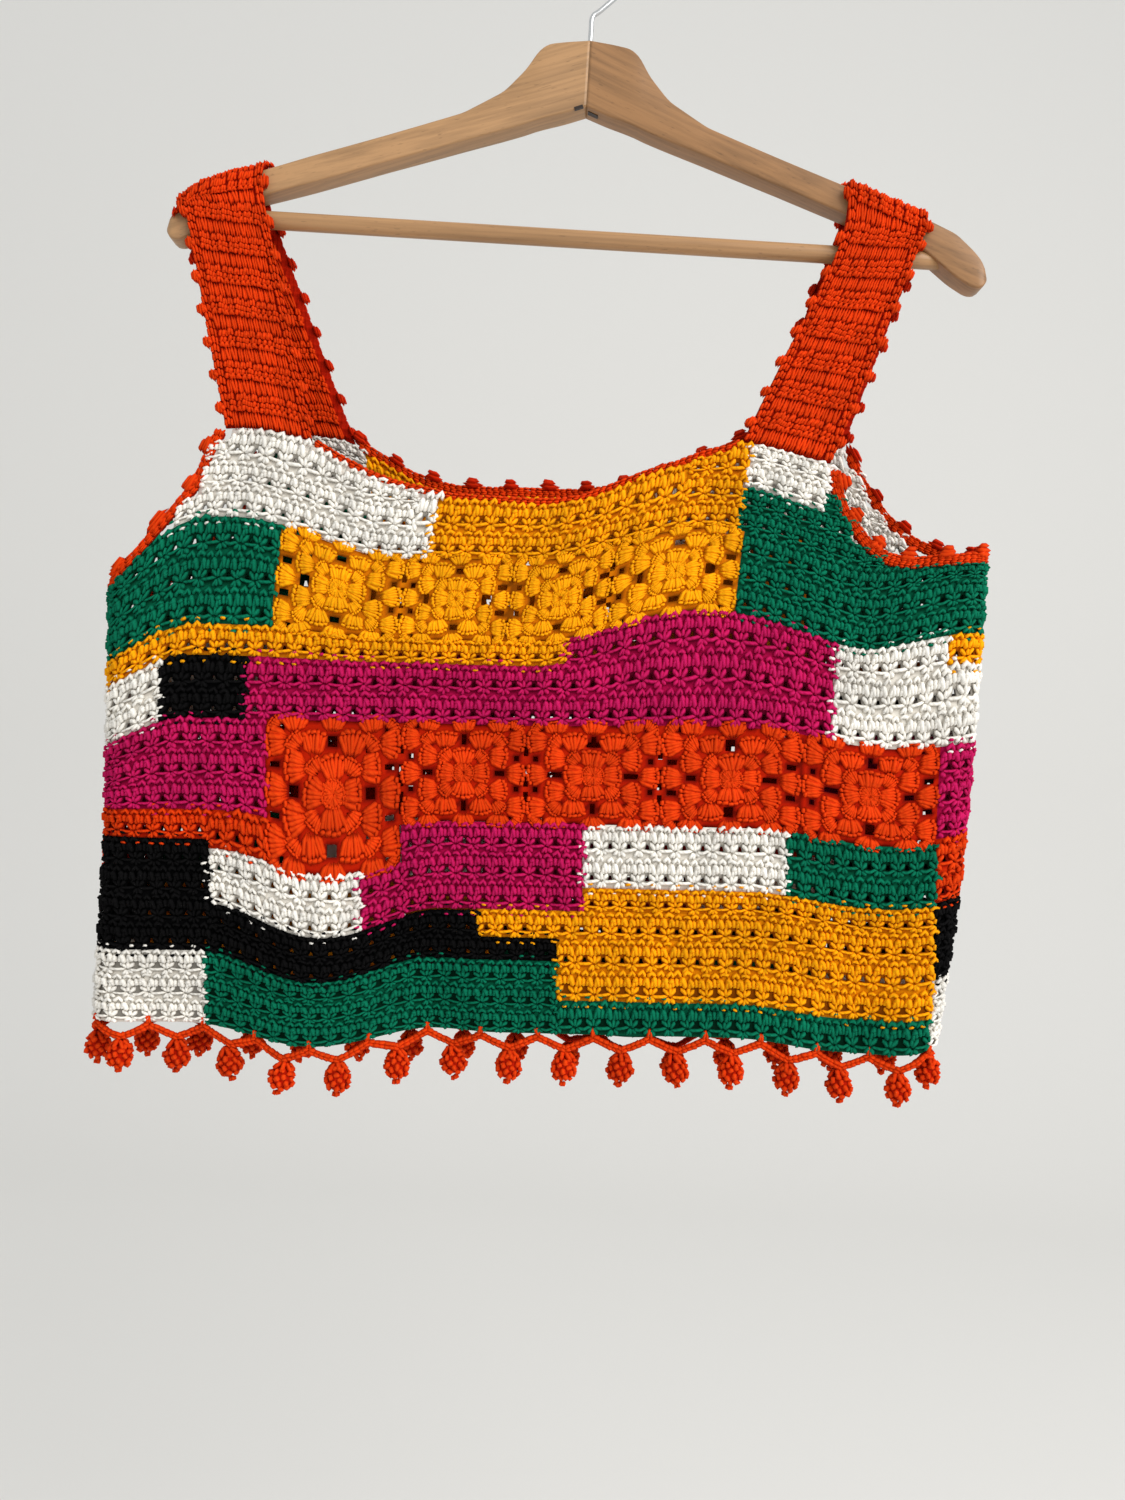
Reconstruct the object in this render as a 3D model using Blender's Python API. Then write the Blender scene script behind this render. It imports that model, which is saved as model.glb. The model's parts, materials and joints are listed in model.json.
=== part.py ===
# Crochet top hung on a wooden hanger. Millimetre tables are scaled to metres when meshes are made.
# Frame: +Z up, the front faces -Y, +X is the viewer's right, the origin is the hook's inside top.
#
# The body is one tube worked in rows. A place on it is (column, row): columns run round the tube,
# from the left side seam across the front, past the right side seam and back across the back.
# Rows run up from the hem. place() turns a column and a row into a point of the hanging cloth.
import math

import bmesh
import bpy
import numpy as np

MM = 0.001

# Body
PANEL_COLUMNS = 48.0          # columns across the front, and as many across the back
COLUMN = 10.375               # flat width of one column
ROW = 14.4                    # flat height of one row
HEM_Z = -613.0                # height of the hem under the hook
HEM_TILT = 0.036              # rows rise towards the viewer's right
MIDDLE_Y = -15.0              # depth of the tube's middle
BELLY = 0.12                  # how much the middle of each panel stands out
WALL = 2.4
SEAM = 0.3

# Horizontal sections of the tube
SECTIONS = (
    # row, centre, half width, half depth, turn of the seams
    (0.0, -7.5, 228.5, 17.0, 18.0),
    (2.5, -7.5, 231.5, 17.5, 20.0),
    (6.0, -4.0, 233.0, 18.0, 27.0),
    (11.5, -2.5, 234.0, 18.5, 34.0),
    (17.0, -6.0, 239.0, 16.5, 27.0),
    (21.0, -6.0, 239.0, 13.0, 20.0),
)

# Where the rows are pulled up by a strap or sag between them
FRONT_LIFTS = (
    # centre, reach, row where it starts, row where it is full, lift
    (-172.0, 95.0, 12.5, 18.5, 22.0),
    (86.0, 98.0, 10.5, 15.0, 20.0),
    (-250.0, 62.0, 7.0, 12.0, -20.0),
    (190.0, 75.0, 14.5, 11.0, -8.0),
    (235.0, 70.0, 11.0, 15.0, 12.0),
    (-108.0, 65.0, 11.0, 4.5, -16.0),
    (-108.0, 65.0, 4.5, 0.0, 8.0),
)
BACK_LIFTS = (
    (-141.0, 95.0, 12.0, 19.0, 25.0),
    (134.0, 98.0, 12.0, 19.0, 28.0),
    (-250.0, 62.0, 7.0, 12.0, -20.0),
    (235.0, 70.0, 11.0, 15.0, 12.0),
    (60.0, 80.0, 9.0, 3.0, -9.0),
)

# Soft flutes and valleys: a positive depth goes into the tube
FRONT_FOLDS = (
    # x at the hem, lean per row, reach, row where it starts, row where it is full, depth
    (-50.0, -5.3, 34.0, 13.0, 1.0, 7.0),
    (-112.0, -2.0, 52.0, 9.0, 2.0, -9.0),
    (175.0, 0.5, 30.0, 8.0, 1.0, 5.0),
    (204.0, -0.5, 26.0, 9.0, 1.0, -3.0),
    (95.0, 5.0, 36.0, 11.0, 16.0, 5.0),
    (-190.0, 1.0, 40.0, 9.0, 2.0, 4.0),
)
BACK_FOLDS = (
    (70.0, -3.0, 50.0, 12.0, 2.0, 7.0),
    (10.0, 2.0, 40.0, 10.0, 2.0, -6.0),
    (-120.0, 3.0, 45.0, 9.0, 2.0, 6.0),
    (150.0, 0.0, 40.0, 9.0, 2.0, -5.0),
    (-60.0, 3.0, 40.0, 10.0, 16.0, -5.0),
)

# Top edge: armhole, strap joint, neck, strap joint, armhole
FRONT_EDGE = (
    # column, row
    (0.0, 17.0), (4.0, 17.1), (5.5, 17.4), (7.0, 17.9), (8.2, 18.6), (8.5, 19.7), (8.8, 20.7),
    (13.3, 20.9), (14.6, 20.7), (18.4, 20.2), (21.0, 19.8), (28.0, 19.6), (32.8, 20.0),
    (35.5, 20.6), (35.8, 20.9), (40.4, 21.1), (40.8, 20.2), (41.3, 19.5), (42.1, 18.9),
    (43.0, 18.3), (44.3, 17.75), (45.7, 17.35), (48.0, 17.1),
)
BACK_EDGE = (
    (48.0, 17.1), (50.0, 17.15), (53.0, 17.5), (55.0, 18.1), (56.4, 18.9), (57.4, 19.9),
    (58.1, 21.0), (62.7, 21.1), (63.6, 21.0), (67.0, 20.9), (72.0, 20.5), (78.0, 20.4),
    (82.0, 20.5), (84.6, 20.8), (84.8, 20.9), (89.4, 20.8), (89.8, 19.9), (90.3, 18.9),
    (91.4, 18.1), (93.2, 17.4), (96.0, 17.0),
)
ROW_LINES = (0.0, 1.5, 3.0, 4.75, 6.5, 7.8, 9.6, 11.4, 13.0, 14.5, 16.0)
TOP_LINE = 17.55              # upper edge of the square motif strip under the neck
WIDEST_CELL = 2.2             # columns

# Strips of square motifs let into the panels
STRIPS = {
    # first column, last column, lower row, upper row
    "yellow_strip": ((12.8, 36.8, 14.5, TOP_LINE),),
    "orange_strip": ((12.8, 48.0, 7.8, 11.4), (12.8, 19.9, 6.5, 7.8)),
}

# Edgings and hem trim
EDGING_WIDTH = 5.0
EDGING_GAP = 0.9
EDGING_END = 0.06             # columns left free at each end of an edging and of a hem chain
HEM_LOOPS = 16                # loops of the hem trim on each panel
CHAIN_RADIUS = 1.2
CHAIN_PEAK = -1.7
CHAIN_VALLEY = -8.0
BOBBLE_RADIUS = 7.2
BOBBLE_HALF_HEIGHT = 8.8

# Hanger
ARM_THICKNESS = 14.0
ARM_CHAMFER = 2.5
ARM_SWEEP = 18.0              # how far the tips stand forward
ARM_SWEEP_POWER = 1.6
HALF_SPAN = 224.0
ARM_OUTLINE = (
    # distance from the joint, top, bottom
    (0.15, -64.0, -101.0), (12.0, -65.5, -105.5), (23.0, -67.5, -109.0), (28.5, -72.0, -111.0),
    (34.0, -82.0, -113.5), (46.0, -96.0, -118.0), (68.0, -110.0, -126.0), (110.0, -127.0, -142.0),
    (150.0, -143.0, -158.0), (178.0, -155.0, -168.5), (192.0, -160.0, -178.0),
    (206.0, -167.0, -190.0), (216.0, -176.5, -196.5), (223.5, -186.0, -196.5),
)
BAR_RADIUS = 4.75
BAR_HALF_LENGTH = 203.0
BAR_Z = -179.5
BAR_Y = -15.3
BORE_CLEARANCE = 0.45

# Hook
WIRE_RADIUS = 1.4
HOOK_RADIUS = 19.0            # inside of the bend
STEM_DEPTH = 18.0             # screwed into the wood
STEM_TOP = -47.0

# Straps
STRAP_WALL = 2.6
STRAP_GAP = 0.6               # between a strap's end and its panel
STRAPS = {
    # columns of the front joint, columns of the back joint (outer edge first), x on the arm
    "strap_left": ((8.8, 13.3), (89.4, 84.8), (-217.0, -174.0)),
    "strap_right": ((40.4, 35.8), (58.1, 62.7), (189.0, 147.0)),
}
STRAP_OVER_ARM = (
    # depth from the arm's middle, height over its top
    (-9.1, -15.0), (-9.0, -8.0), (-8.9, -2.0), (-7.2, 1.6), (-3.6, 3.0), (0.0, 3.2),
    (3.6, 3.0), (7.2, 1.6), (8.9, -2.0), (9.0, -8.0), (9.1, -15.0),
)
STRAP_LINES = 4
STRAP_OFF_ARM = 9.1           # the strap's middle surface from the arm's middle
STRAP_OFF_BAR = 2.0
STRAP_DRIFT = 0.10            # how far a strap has moved to its joint by the bar's height

YARN = {
    "white": (0.78, 0.75, 0.70), "yellow": (0.91, 0.38, 0.004), "orange": (0.84, 0.075, 0.008),
}
SECTION_FITS = [np.polyfit(np.array(SECTIONS)[:, 0], np.array(SECTIONS)[:, k], 3) for k in (1, 2, 3, 4)]


def ramp(value, start, full):
    """0 before start and 1 after full, with a soft step between."""
    share = np.clip((value - start) / (full - start), 0.0, 1.0)
    return share * share * (3.0 - 2.0 * share)


def bell(distance, reach):
    return 0.5 + 0.5 * np.cos(math.pi * np.clip(np.abs(distance) / reach, 0.0, 1.0))


def place(column, row):
    """Points of the tube's middle surface, in millimetres."""
    column, row = np.broadcast_arrays(np.asarray(column, float), np.asarray(row, float))
    centre, half_width, half_depth, turn = (np.polyval(fit, row) for fit in SECTION_FITS)
    quarter = math.pi * half_depth / 2.0
    straight = 2.0 * (half_width - half_depth)
    half = 2.0 * quarter + straight
    along = column / PANEL_COLUMNS * half - turn
    side = np.floor(along / half)
    along = along - side * half
    facing = np.where(side % 2 == 0, 1.0, -1.0)
    left_turn = np.clip(along, 0.0, quarter) / half_depth
    right_turn = np.clip(along - quarter - straight, 0.0, quarter) / half_depth
    on_left = along < quarter
    on_right = along > quarter + straight
    flat_end = half_width - half_depth
    x = np.where(on_right, flat_end + half_depth * np.sin(right_turn), along - quarter - flat_end)
    x = np.where(on_left, -flat_end - half_depth * np.cos(left_turn), x) * facing
    y = np.where(on_right, -half_depth * np.cos(right_turn), -half_depth)
    y = np.where(on_left, -half_depth * np.sin(left_turn), y) * facing
    front = ramp(-y / half_depth, -1.0, 1.0)
    out_x = centre + x
    out_y = MIDDLE_Y + y * (1.0 + BELLY * np.cos(math.pi * x / (2.0 * half_width)))
    out_z = HEM_Z + HEM_TILT * out_x + ROW * row
    for lifts, share in ((FRONT_LIFTS, front), (BACK_LIFTS, 1.0 - front)):
        for middle, reach, start, full, lift in lifts:
            out_z = out_z + share * lift * bell(out_x - middle, reach) * ramp(row, start, full)
    for folds, share, inward in ((FRONT_FOLDS, front, 1.0), (BACK_FOLDS, 1.0 - front, -1.0)):
        for foot, lean, reach, start, full, depth in folds:
            width = bell(out_x - foot - lean * row, reach)
            out_y = out_y + inward * share * depth * width * ramp(row, start, full)
    return np.stack([out_x, out_y, out_z], axis=-1)


def outward(column, row):
    """Unit normals of the tube, pointing out of it."""
    across = place(column + 0.05, row) - place(column - 0.05, row)
    up = place(column, row + 0.05) - place(column, row - 0.05)
    normal = np.cross(across, up)
    return normal / np.linalg.norm(normal, axis=-1, keepdims=True)


def top_row(column):
    edge = np.array(FRONT_EDGE + BACK_EDGE)
    return np.interp(column % (2.0 * PANEL_COLUMNS), edge[:, 0], edge[:, 1])


def material(name, colour, roughness, metallic=0.0):
    made = bpy.data.materials.new(name)
    made.use_nodes = True
    shader = made.node_tree.nodes["Principled BSDF"]
    shader.inputs["Base Color"].default_value = (*colour, 1.0)
    shader.inputs["Roughness"].default_value = roughness
    shader.inputs["Metallic"].default_value = metallic
    return made


def add_object(name, data, finish):
    made = bpy.data.objects.new(name, data)
    bpy.context.scene.collection.objects.link(made)
    data.materials.append(finish)
    return made


def mesh_object(name, points, faces, finish):
    """A mesh from millimetre points, with its normals turned outwards."""
    mesh = bpy.data.meshes.new(name)
    mesh.from_pydata([tuple(point * MM) for point in points], [], faces)
    body = bmesh.new()
    body.from_mesh(mesh)
    bmesh.ops.remove_doubles(body, verts=body.verts, dist=1e-7)
    bmesh.ops.triangulate(body, faces=[face for face in body.faces if len(face.verts) == 4])
    bmesh.ops.recalc_face_normals(body, faces=body.faces)
    body.to_mesh(mesh)
    body.free()
    return add_object(name, mesh, finish)


def wall(name, cells, middle, normal, thickness, finish):
    """A wall over grid cells: middle and normal give each (i, j) corner's point and direction."""
    corners = sorted({corner for cell in cells for corner in cell})
    outer = {corner: 2 * k for k, corner in enumerate(corners)}
    points = []
    for corner in corners:
        points.append(middle[corner] + normal[corner] * thickness / 2.0)
        points.append(middle[corner] - normal[corner] * thickness / 2.0)
    edges = {}
    faces = []
    for cell in cells:
        loop = [outer[corner] for corner in cell]
        faces.append(loop)
        faces.append([index + 1 for index in reversed(loop)])
        for a, b in zip(loop, loop[1:] + loop[:1]):
            if (b, a) in edges:
                edges.pop((b, a))
            else:
                edges[(a, b)] = True
    for a, b in edges:
        faces.append([b, a, a + 1, b + 1])
    return mesh_object(name, points, faces, finish)


def grid_columns(first, last, wanted):
    """Column lines from first to last: every wanted one, and more where they lie far apart."""
    fixed = sorted({first, last} | {column for column in wanted if first < column < last})
    lines = [fixed[0]]
    for column in fixed[1:]:
        steps = math.ceil((column - lines[-1]) / WIDEST_CELL)
        lines += list(np.linspace(lines[-1], column, steps + 1)[1:])
    return lines


def row_lines(column):
    """Heights of the row lines at a column, up to the top edge."""
    top = top_row(column)
    upper = min(TOP_LINE, ROW_LINES[-1] + 0.5 * (top - ROW_LINES[-1]))
    return list(ROW_LINES) + [upper, 0.5 * (upper + top), top]


def inside(column, row, parts):
    return any(a < column < b and low < row < high for a, b, low, high in parts)


def cloth(name, first, last, edge, parts, holes, finish):
    """A wall of the tube between two columns, over the given parts of it and round the holes."""
    corners = {limit + first for limits in STRIPS.values() for a, b, _, _ in limits for limit in (a, b)}
    lines = grid_columns(first, last, [column for column, _ in edge] + sorted(corners))
    levels = np.array([row_lines(column) for column in lines])
    columns = np.repeat(np.array(lines)[:, None], levels.shape[1], axis=1)
    cells = []
    for i in range(len(lines) - 1):
        for j in range(levels.shape[1] - 1):
            column = 0.5 * (lines[i] + lines[i + 1])
            row = 0.25 * (levels[i, j] + levels[i + 1, j] + levels[i, j + 1] + levels[i + 1, j + 1])
            if parts and not inside(column - first, row, parts):
                continue
            if inside(column - first, row, holes):
                continue
            cells.append(((i, j), (i + 1, j), (i + 1, j + 1), (i, j + 1)))
    gap = SEAM if parts else SEAM / 2.0
    columns, levels = inset(columns, levels, cells, parts, first, last, gap)
    return wall(name, cells, place(columns, levels), outward(columns, levels), WALL, finish)


def inset(columns, levels, cells, parts, first, last, gap):
    """Draws the side edges of a panel, or the whole outline of a strip, in by the seam's gap."""
    columns = columns.copy()
    levels = levels.copy()
    if not parts:
        columns[0] += gap / COLUMN
        columns[-1] -= gap / COLUMN
        return columns, levels
    touching = {}
    for cell in cells:
        centre_i = 0.25 * sum(corner[0] for corner in cell)
        centre_j = 0.25 * sum(corner[1] for corner in cell)
        for corner in cell:
            touching.setdefault(corner, []).append((centre_i - corner[0], centre_j - corner[1]))
    for corner, sides in touching.items():
        if len(sides) == 4:
            continue
        pull = 2.0 * gap if len(sides) == 3 else 2.0 * gap / len(sides)
        columns[corner] += pull * sum(side[0] for side in sides) / COLUMN
        levels[corner] += pull * sum(side[1] for side in sides) / ROW
    return columns, levels


def edging(name, columns, finish):
    """A narrow band along the top edge between two columns, on the open side of the edge."""
    edge = np.array(FRONT_EDGE + BACK_EDGE)
    first, last = columns
    span = 2.0 * PANEL_COLUMNS
    wrapped = np.concatenate([edge[:, 0] - span, edge[:, 0]])
    wanted = sorted(column for column in set(wrapped) if first + 0.05 < column < last - 0.05)
    lines = grid_columns(first, last, wanted)
    flat = np.array([(column * COLUMN, top_row(column) * ROW) for column in lines])
    run = np.diff(flat, axis=0)
    run /= np.linalg.norm(run, axis=1, keepdims=True)
    square = np.stack([-run[:, 1], run[:, 0]], axis=1)
    before = np.vstack([square[:1], square])
    after = np.vstack([square, square[-1:]])
    mitre = (before + after) / (1.0 + np.sum(before * after, axis=1, keepdims=True))
    near = flat + mitre * EDGING_GAP
    far = flat + mitre * EDGING_WIDTH
    rows = np.stack([near, far], axis=1)
    columns = rows[..., 0] / COLUMN
    levels = rows[..., 1] / ROW
    cells = [((i, 0), (i + 1, 0), (i + 1, 1), (i, 1)) for i in range(len(lines) - 1)]
    return wall(name, cells, place(columns, levels), outward(columns, levels), WALL, finish)


def arm_top(x):
    outline = np.array(ARM_OUTLINE)
    return np.interp(abs(x), outline[:, 0], outline[:, 1])


def arm_y(x):
    return -ARM_SWEEP * (abs(x) / HALF_SPAN) ** ARM_SWEEP_POWER


def smooth_path(stations, steps):
    """A Catmull-Rom curve through the stations, with the given steps between each two."""
    padded = np.vstack([2 * stations[0] - stations[1], stations, 2 * stations[-1] - stations[-2]])
    path = []
    for k, count in enumerate(steps):
        a, b, c, d = padded[k:k + 4]
        for t in np.arange(count) / count:
            path.append(0.5 * (2 * b + (c - a) * t + (2 * a - 5 * b + 4 * c - d) * t ** 2
                               + (3 * b - a - 3 * c + d) * t ** 3))
    path.append(stations[-1])
    return np.array(path)


def strap(name, finish):
    front_joint, back_joint, on_arm = STRAPS[name]
    lines = []
    for share in np.linspace(0.0, 1.0, STRAP_LINES):
        front = front_joint[0] + share * (front_joint[1] - front_joint[0])
        back = back_joint[0] + share * (back_joint[1] - back_joint[0])
        x = on_arm[0] + share * (on_arm[1] - on_arm[0])
        slope = (arm_top(abs(x) + 7.0) - arm_top(abs(x) - 7.0)) / 14.0
        clear = math.hypot(1.0, slope)
        over = []
        for depth, height in STRAP_OVER_ARM:
            over.append(np.array([x, arm_y(x) + depth, arm_top(x) + height * clear ** np.sign(height)]))
        foot = place(front, top_row(front) + STRAP_GAP / ROW)
        heel = place(back, top_row(back) + STRAP_GAP / ROW)
        bar_y = min(arm_y(x) - STRAP_OFF_ARM, BAR_Y - BAR_RADIUS - STRAP_OFF_BAR)
        at_bar = np.array([x + STRAP_DRIFT * (foot[0] - x), bar_y, BAR_Z])
        front_mid = 0.5 * (at_bar + foot)
        back_mid = 0.5 * (over[-1] + heel)
        front_low = 0.2 * at_bar + 0.8 * foot
        back_low = 0.2 * over[-1] + 0.8 * heel
        stations = np.array([foot, front_low, front_mid, at_bar] + over[1:] + [back_mid, back_low, heel])
        steps = [1, 2, 2, 1] + [1] * (len(over) - 2) + [3, 2, 1]
        lines.append(smooth_path(stations, steps))
    middle = np.array(lines)
    across = np.gradient(middle, axis=0)
    along = np.gradient(middle, axis=1)
    normal = np.cross(along, across)
    normal /= np.linalg.norm(normal, axis=-1, keepdims=True)
    cells = [((i, j), (i + 1, j), (i + 1, j + 1), (i, j + 1))
             for i in range(middle.shape[0] - 1) for j in range(middle.shape[1] - 1)]
    return wall(name, cells, middle, normal, STRAP_WALL, finish)


def tube(name, points, radius, resolution, finish):
    """A wire or chain along millimetre points."""
    curve = bpy.data.curves.new(name, "CURVE")
    curve.dimensions = "3D"
    curve.bevel_depth = radius * MM
    curve.bevel_resolution = resolution
    curve.use_fill_caps = True
    spline = curve.splines.new("POLY")
    spline.points.add(len(points) - 1)
    for target, point in zip(spline.points, points):
        target.co = (*(np.array(point) * MM), 1.0)
    return add_object(name, curve, finish)


def hem_chain(name, first, finish):
    """A zigzag that meets the hem at its peaks and carries a bobble at each valley."""
    pitch = PANEL_COLUMNS / HEM_LOOPS
    points = [place(first + EDGING_END, CHAIN_PEAK / ROW)]
    for k in range(HEM_LOOPS):
        points.append(place(first + (k + 0.5) * pitch, CHAIN_VALLEY / ROW))
        points.append(place(first + (k + 1) * pitch, CHAIN_PEAK / ROW))
    points[-1] = place(first + PANEL_COLUMNS - EDGING_END, CHAIN_PEAK / ROW)
    return tube(name, points, CHAIN_RADIUS, 1, finish)


def bobble(name, column, finish):
    drop = CHAIN_VALLEY - CHAIN_RADIUS - SEAM
    middle = place(column, CHAIN_VALLEY / ROW)
    middle[2] += drop - CHAIN_VALLEY - BOBBLE_HALF_HEIGHT
    ball = bmesh.new()
    bmesh.ops.create_uvsphere(ball, u_segments=8, v_segments=5, radius=BOBBLE_RADIUS * MM)
    for vertex in ball.verts:
        vertex.co.z *= BOBBLE_HALF_HEIGHT / BOBBLE_RADIUS
    mesh = bpy.data.meshes.new(name)
    ball.to_mesh(mesh)
    ball.free()
    mesh.shade_smooth()
    made = add_object(name, mesh, finish)
    made.location = middle * MM
    return made


def cut(target, cutter):
    modifier = target.modifiers.new(cutter.name, "BOOLEAN")
    modifier.operation = "DIFFERENCE"
    modifier.solver = "EXACT"
    modifier.object = cutter


def cylinder(name, radius, start, end, sides, finish=None):
    """A round bar between two millimetre points on an axis; with no finish it is a cutter."""
    start = np.array(start)
    end = np.array(end)
    along = (end - start) / np.linalg.norm(end - start)
    first = np.cross(along, (0.0, 1.0, 0.0))
    second = np.cross(along, first)
    turns = [2.0 * math.pi * (k + 0.5) / sides for k in range(sides)]
    ring = [radius * (math.cos(turn) * first + math.sin(turn) * second) for turn in turns]
    points = [start + step for step in ring] + [end + step for step in ring]
    faces = [[k, (k + 1) % sides, sides + (k + 1) % sides, sides + k] for k in range(sides)]
    faces.append(list(range(sides)))
    faces.append([sides + k for k in range(sides)])
    made = mesh_object(name, points, faces, finish or material(name + "_guide", (0.5, 0.5, 0.5), 0.5))
    if finish is None:
        made.hide_render = True
        made.display_type = "WIRE"
    return made


def arm(name, way, finish):
    """One half of the hanger, lofted through eight-sided sections and swept forward to its tip."""
    half = ARM_THICKNESS / 2.0
    points = []
    for distance, top, bottom in ARM_OUTLINE:
        middle = arm_y(distance)
        edge = min(ARM_CHAMFER, 0.3 * (top - bottom))
        for depth, height in ((-half, bottom + edge), (-half, top - edge), (-half + edge, top),
                              (half - edge, top), (half, top - edge), (half, bottom + edge),
                              (half - edge, bottom), (-half + edge, bottom)):
            points.append(np.array([way * distance, middle + depth, height]))
    faces = []
    for k in range(len(ARM_OUTLINE) - 1):
        for corner in range(8):
            after = (corner + 1) % 8
            faces.append([8 * k + corner, 8 * k + after, 8 * k + 8 + after, 8 * k + 8 + corner])
    faces.append(list(range(8)))
    faces.append([8 * (len(ARM_OUTLINE) - 1) + corner for corner in range(8)])
    return mesh_object(name, points, faces, finish)


def hook(finish):
    """Stem, kink and open bend of the wire, seen from the front like a question mark."""
    wire = HOOK_RADIUS + WIRE_RADIUS
    middle = WIRE_RADIUS - wire
    foot = ARM_OUTLINE[0][1] - STEM_DEPTH + 1.0
    points = [(0.0, 0.0, foot), (0.0, 0.0, STEM_TOP - 6.0), (0.0, 0.0, STEM_TOP - 1.5),
              (1.2, 0.0, STEM_TOP + 1.4), (4.4, 0.0, STEM_TOP + 3.8)]
    for turn in np.arange(-42.0, 205.0, 11.0):
        angle = math.radians(turn)
        points.append((wire * math.cos(angle), 0.0, middle + wire * math.sin(angle)))
    return tube("hook", points, WIRE_RADIUS, 2, finish)


for old in list(bpy.data.objects):
    bpy.data.objects.remove(old)

orange_yarn = material("orange_yarn", YARN["orange"], 0.85)
panel_yarn = material("panel_yarn", YARN["white"], 0.85)
yellow_yarn = material("yellow_yarn", YARN["yellow"], 0.85)
beech = material("beech", (0.48, 0.30, 0.16), 0.45)
steel = material("steel", (0.62, 0.62, 0.63), 0.3, 1.0)
strip_yarn = {"yellow_strip": yellow_yarn, "orange_strip": orange_yarn}
all_strips = [part for parts in STRIPS.values() for part in parts]

for side, first, top_edge in (("front", 0.0, FRONT_EDGE), ("back", PANEL_COLUMNS, BACK_EDGE)):
    cloth(side + "_panel", first, first + PANEL_COLUMNS, top_edge, (), all_strips, panel_yarn)
    for strip, parts in STRIPS.items():
        cloth(side + "_" + strip, first, first + PANEL_COLUMNS, top_edge, parts, (), strip_yarn[strip])
    hem_chain(side + "_hem_chain", first, orange_yarn)
    for loop in range(HEM_LOOPS):
        middle_column = first + (loop + 0.5) * PANEL_COLUMNS / HEM_LOOPS
        bobble(f"{side}_bobble_{loop + 1:02d}", middle_column, orange_yarn)

edging("neck_edging_front", (13.3 + EDGING_END, 35.8 - EDGING_END), orange_yarn)
edging("neck_edging_back", (62.7 + EDGING_END, 84.8 - EDGING_END), orange_yarn)
edging("armhole_edging_left", (89.4 + EDGING_END - 2.0 * PANEL_COLUMNS, 8.8 - EDGING_END), orange_yarn)
edging("armhole_edging_right", (40.4 + EDGING_END, 58.1 - EDGING_END), orange_yarn)
for strap_name in STRAPS:
    strap(strap_name, orange_yarn)

joint_top = ARM_OUTLINE[0][1]
bore = cylinder("hook_bore", WIRE_RADIUS + BORE_CLEARANCE, (0.0, 0.0, joint_top + 5.0),
                (0.0, 0.0, joint_top - STEM_DEPTH), 12)
for arm_name, way in (("hanger_arm_left", -1.0), ("hanger_arm_right", 1.0)):
    made_arm = arm(arm_name, way, beech)
    socket = cylinder(arm_name + "_socket", BAR_RADIUS + BORE_CLEARANCE, (way * 140.0, BAR_Y, BAR_Z),
                      (way * (BAR_HALF_LENGTH + 0.4), BAR_Y, BAR_Z), 16)
    cut(made_arm, bore)
    cut(made_arm, socket)
cylinder("trouser_bar", BAR_RADIUS, (-BAR_HALF_LENGTH, BAR_Y, BAR_Z), (BAR_HALF_LENGTH, BAR_Y, BAR_Z), 12, beech)
hook(steel)
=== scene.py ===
import json
import math

import bmesh
import bpy
import numpy as np
from mathutils import Matrix, Vector

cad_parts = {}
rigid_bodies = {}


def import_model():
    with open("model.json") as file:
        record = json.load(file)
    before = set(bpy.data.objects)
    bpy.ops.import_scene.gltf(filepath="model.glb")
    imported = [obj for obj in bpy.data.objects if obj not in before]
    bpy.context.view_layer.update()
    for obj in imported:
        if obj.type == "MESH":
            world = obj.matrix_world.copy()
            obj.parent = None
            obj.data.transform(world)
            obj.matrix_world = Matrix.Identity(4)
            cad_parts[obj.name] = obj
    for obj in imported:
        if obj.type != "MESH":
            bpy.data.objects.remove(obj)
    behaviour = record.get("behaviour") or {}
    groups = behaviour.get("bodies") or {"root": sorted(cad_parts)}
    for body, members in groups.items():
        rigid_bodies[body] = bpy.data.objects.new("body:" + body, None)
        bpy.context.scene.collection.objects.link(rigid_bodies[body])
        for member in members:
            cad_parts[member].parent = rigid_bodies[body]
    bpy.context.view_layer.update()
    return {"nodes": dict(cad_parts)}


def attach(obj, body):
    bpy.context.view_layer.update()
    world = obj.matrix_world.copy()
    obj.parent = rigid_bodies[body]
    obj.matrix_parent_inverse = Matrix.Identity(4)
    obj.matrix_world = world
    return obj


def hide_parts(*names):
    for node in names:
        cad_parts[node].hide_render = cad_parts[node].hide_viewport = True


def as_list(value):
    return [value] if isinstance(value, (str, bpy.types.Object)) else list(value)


# +Z is up, the front faces -Y, and the origin is the inside top of the hook
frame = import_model()
scene = bpy.context.scene
mm = 0.001
print("frame loaded:", len(frame["nodes"]), "nodes")


# helpers for objects, meshes and node trees
def newObject(name, data):
    made = bpy.data.objects.new(name, data)
    scene.collection.objects.link(made)
    return made


def newMesh(name, points, faces, materials=()):
    mesh = bpy.data.meshes.new(name)
    mesh.from_pydata([tuple(point) for point in points], [], faces)
    for material in materials:
        mesh.materials.append(material)
    mesh.shade_smooth()
    return mesh


def newPoints(name, places):
    mesh = bpy.data.meshes.new(name)
    mesh.vertices.add(len(places))
    mesh.vertices.foreach_set("co", np.array(places, float).ravel())
    return mesh


def store(mesh, label, kind, values):
    data = mesh.attributes.new(label, kind, "POINT").data
    data.foreach_set("vector" if kind == "FLOAT_VECTOR" else "value", np.asarray(values).ravel())


def reshape(mesh, change):
    shape = bmesh.new()
    shape.from_mesh(mesh)
    change(shape)
    shape.to_mesh(mesh)
    shape.free()


def faceOutwards(shape):
    bmesh.ops.recalc_face_normals(shape, faces=shape.faces)


def unit(vectors):
    return vectors / np.linalg.norm(vectors, axis=-1, keepdims=True)


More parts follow.
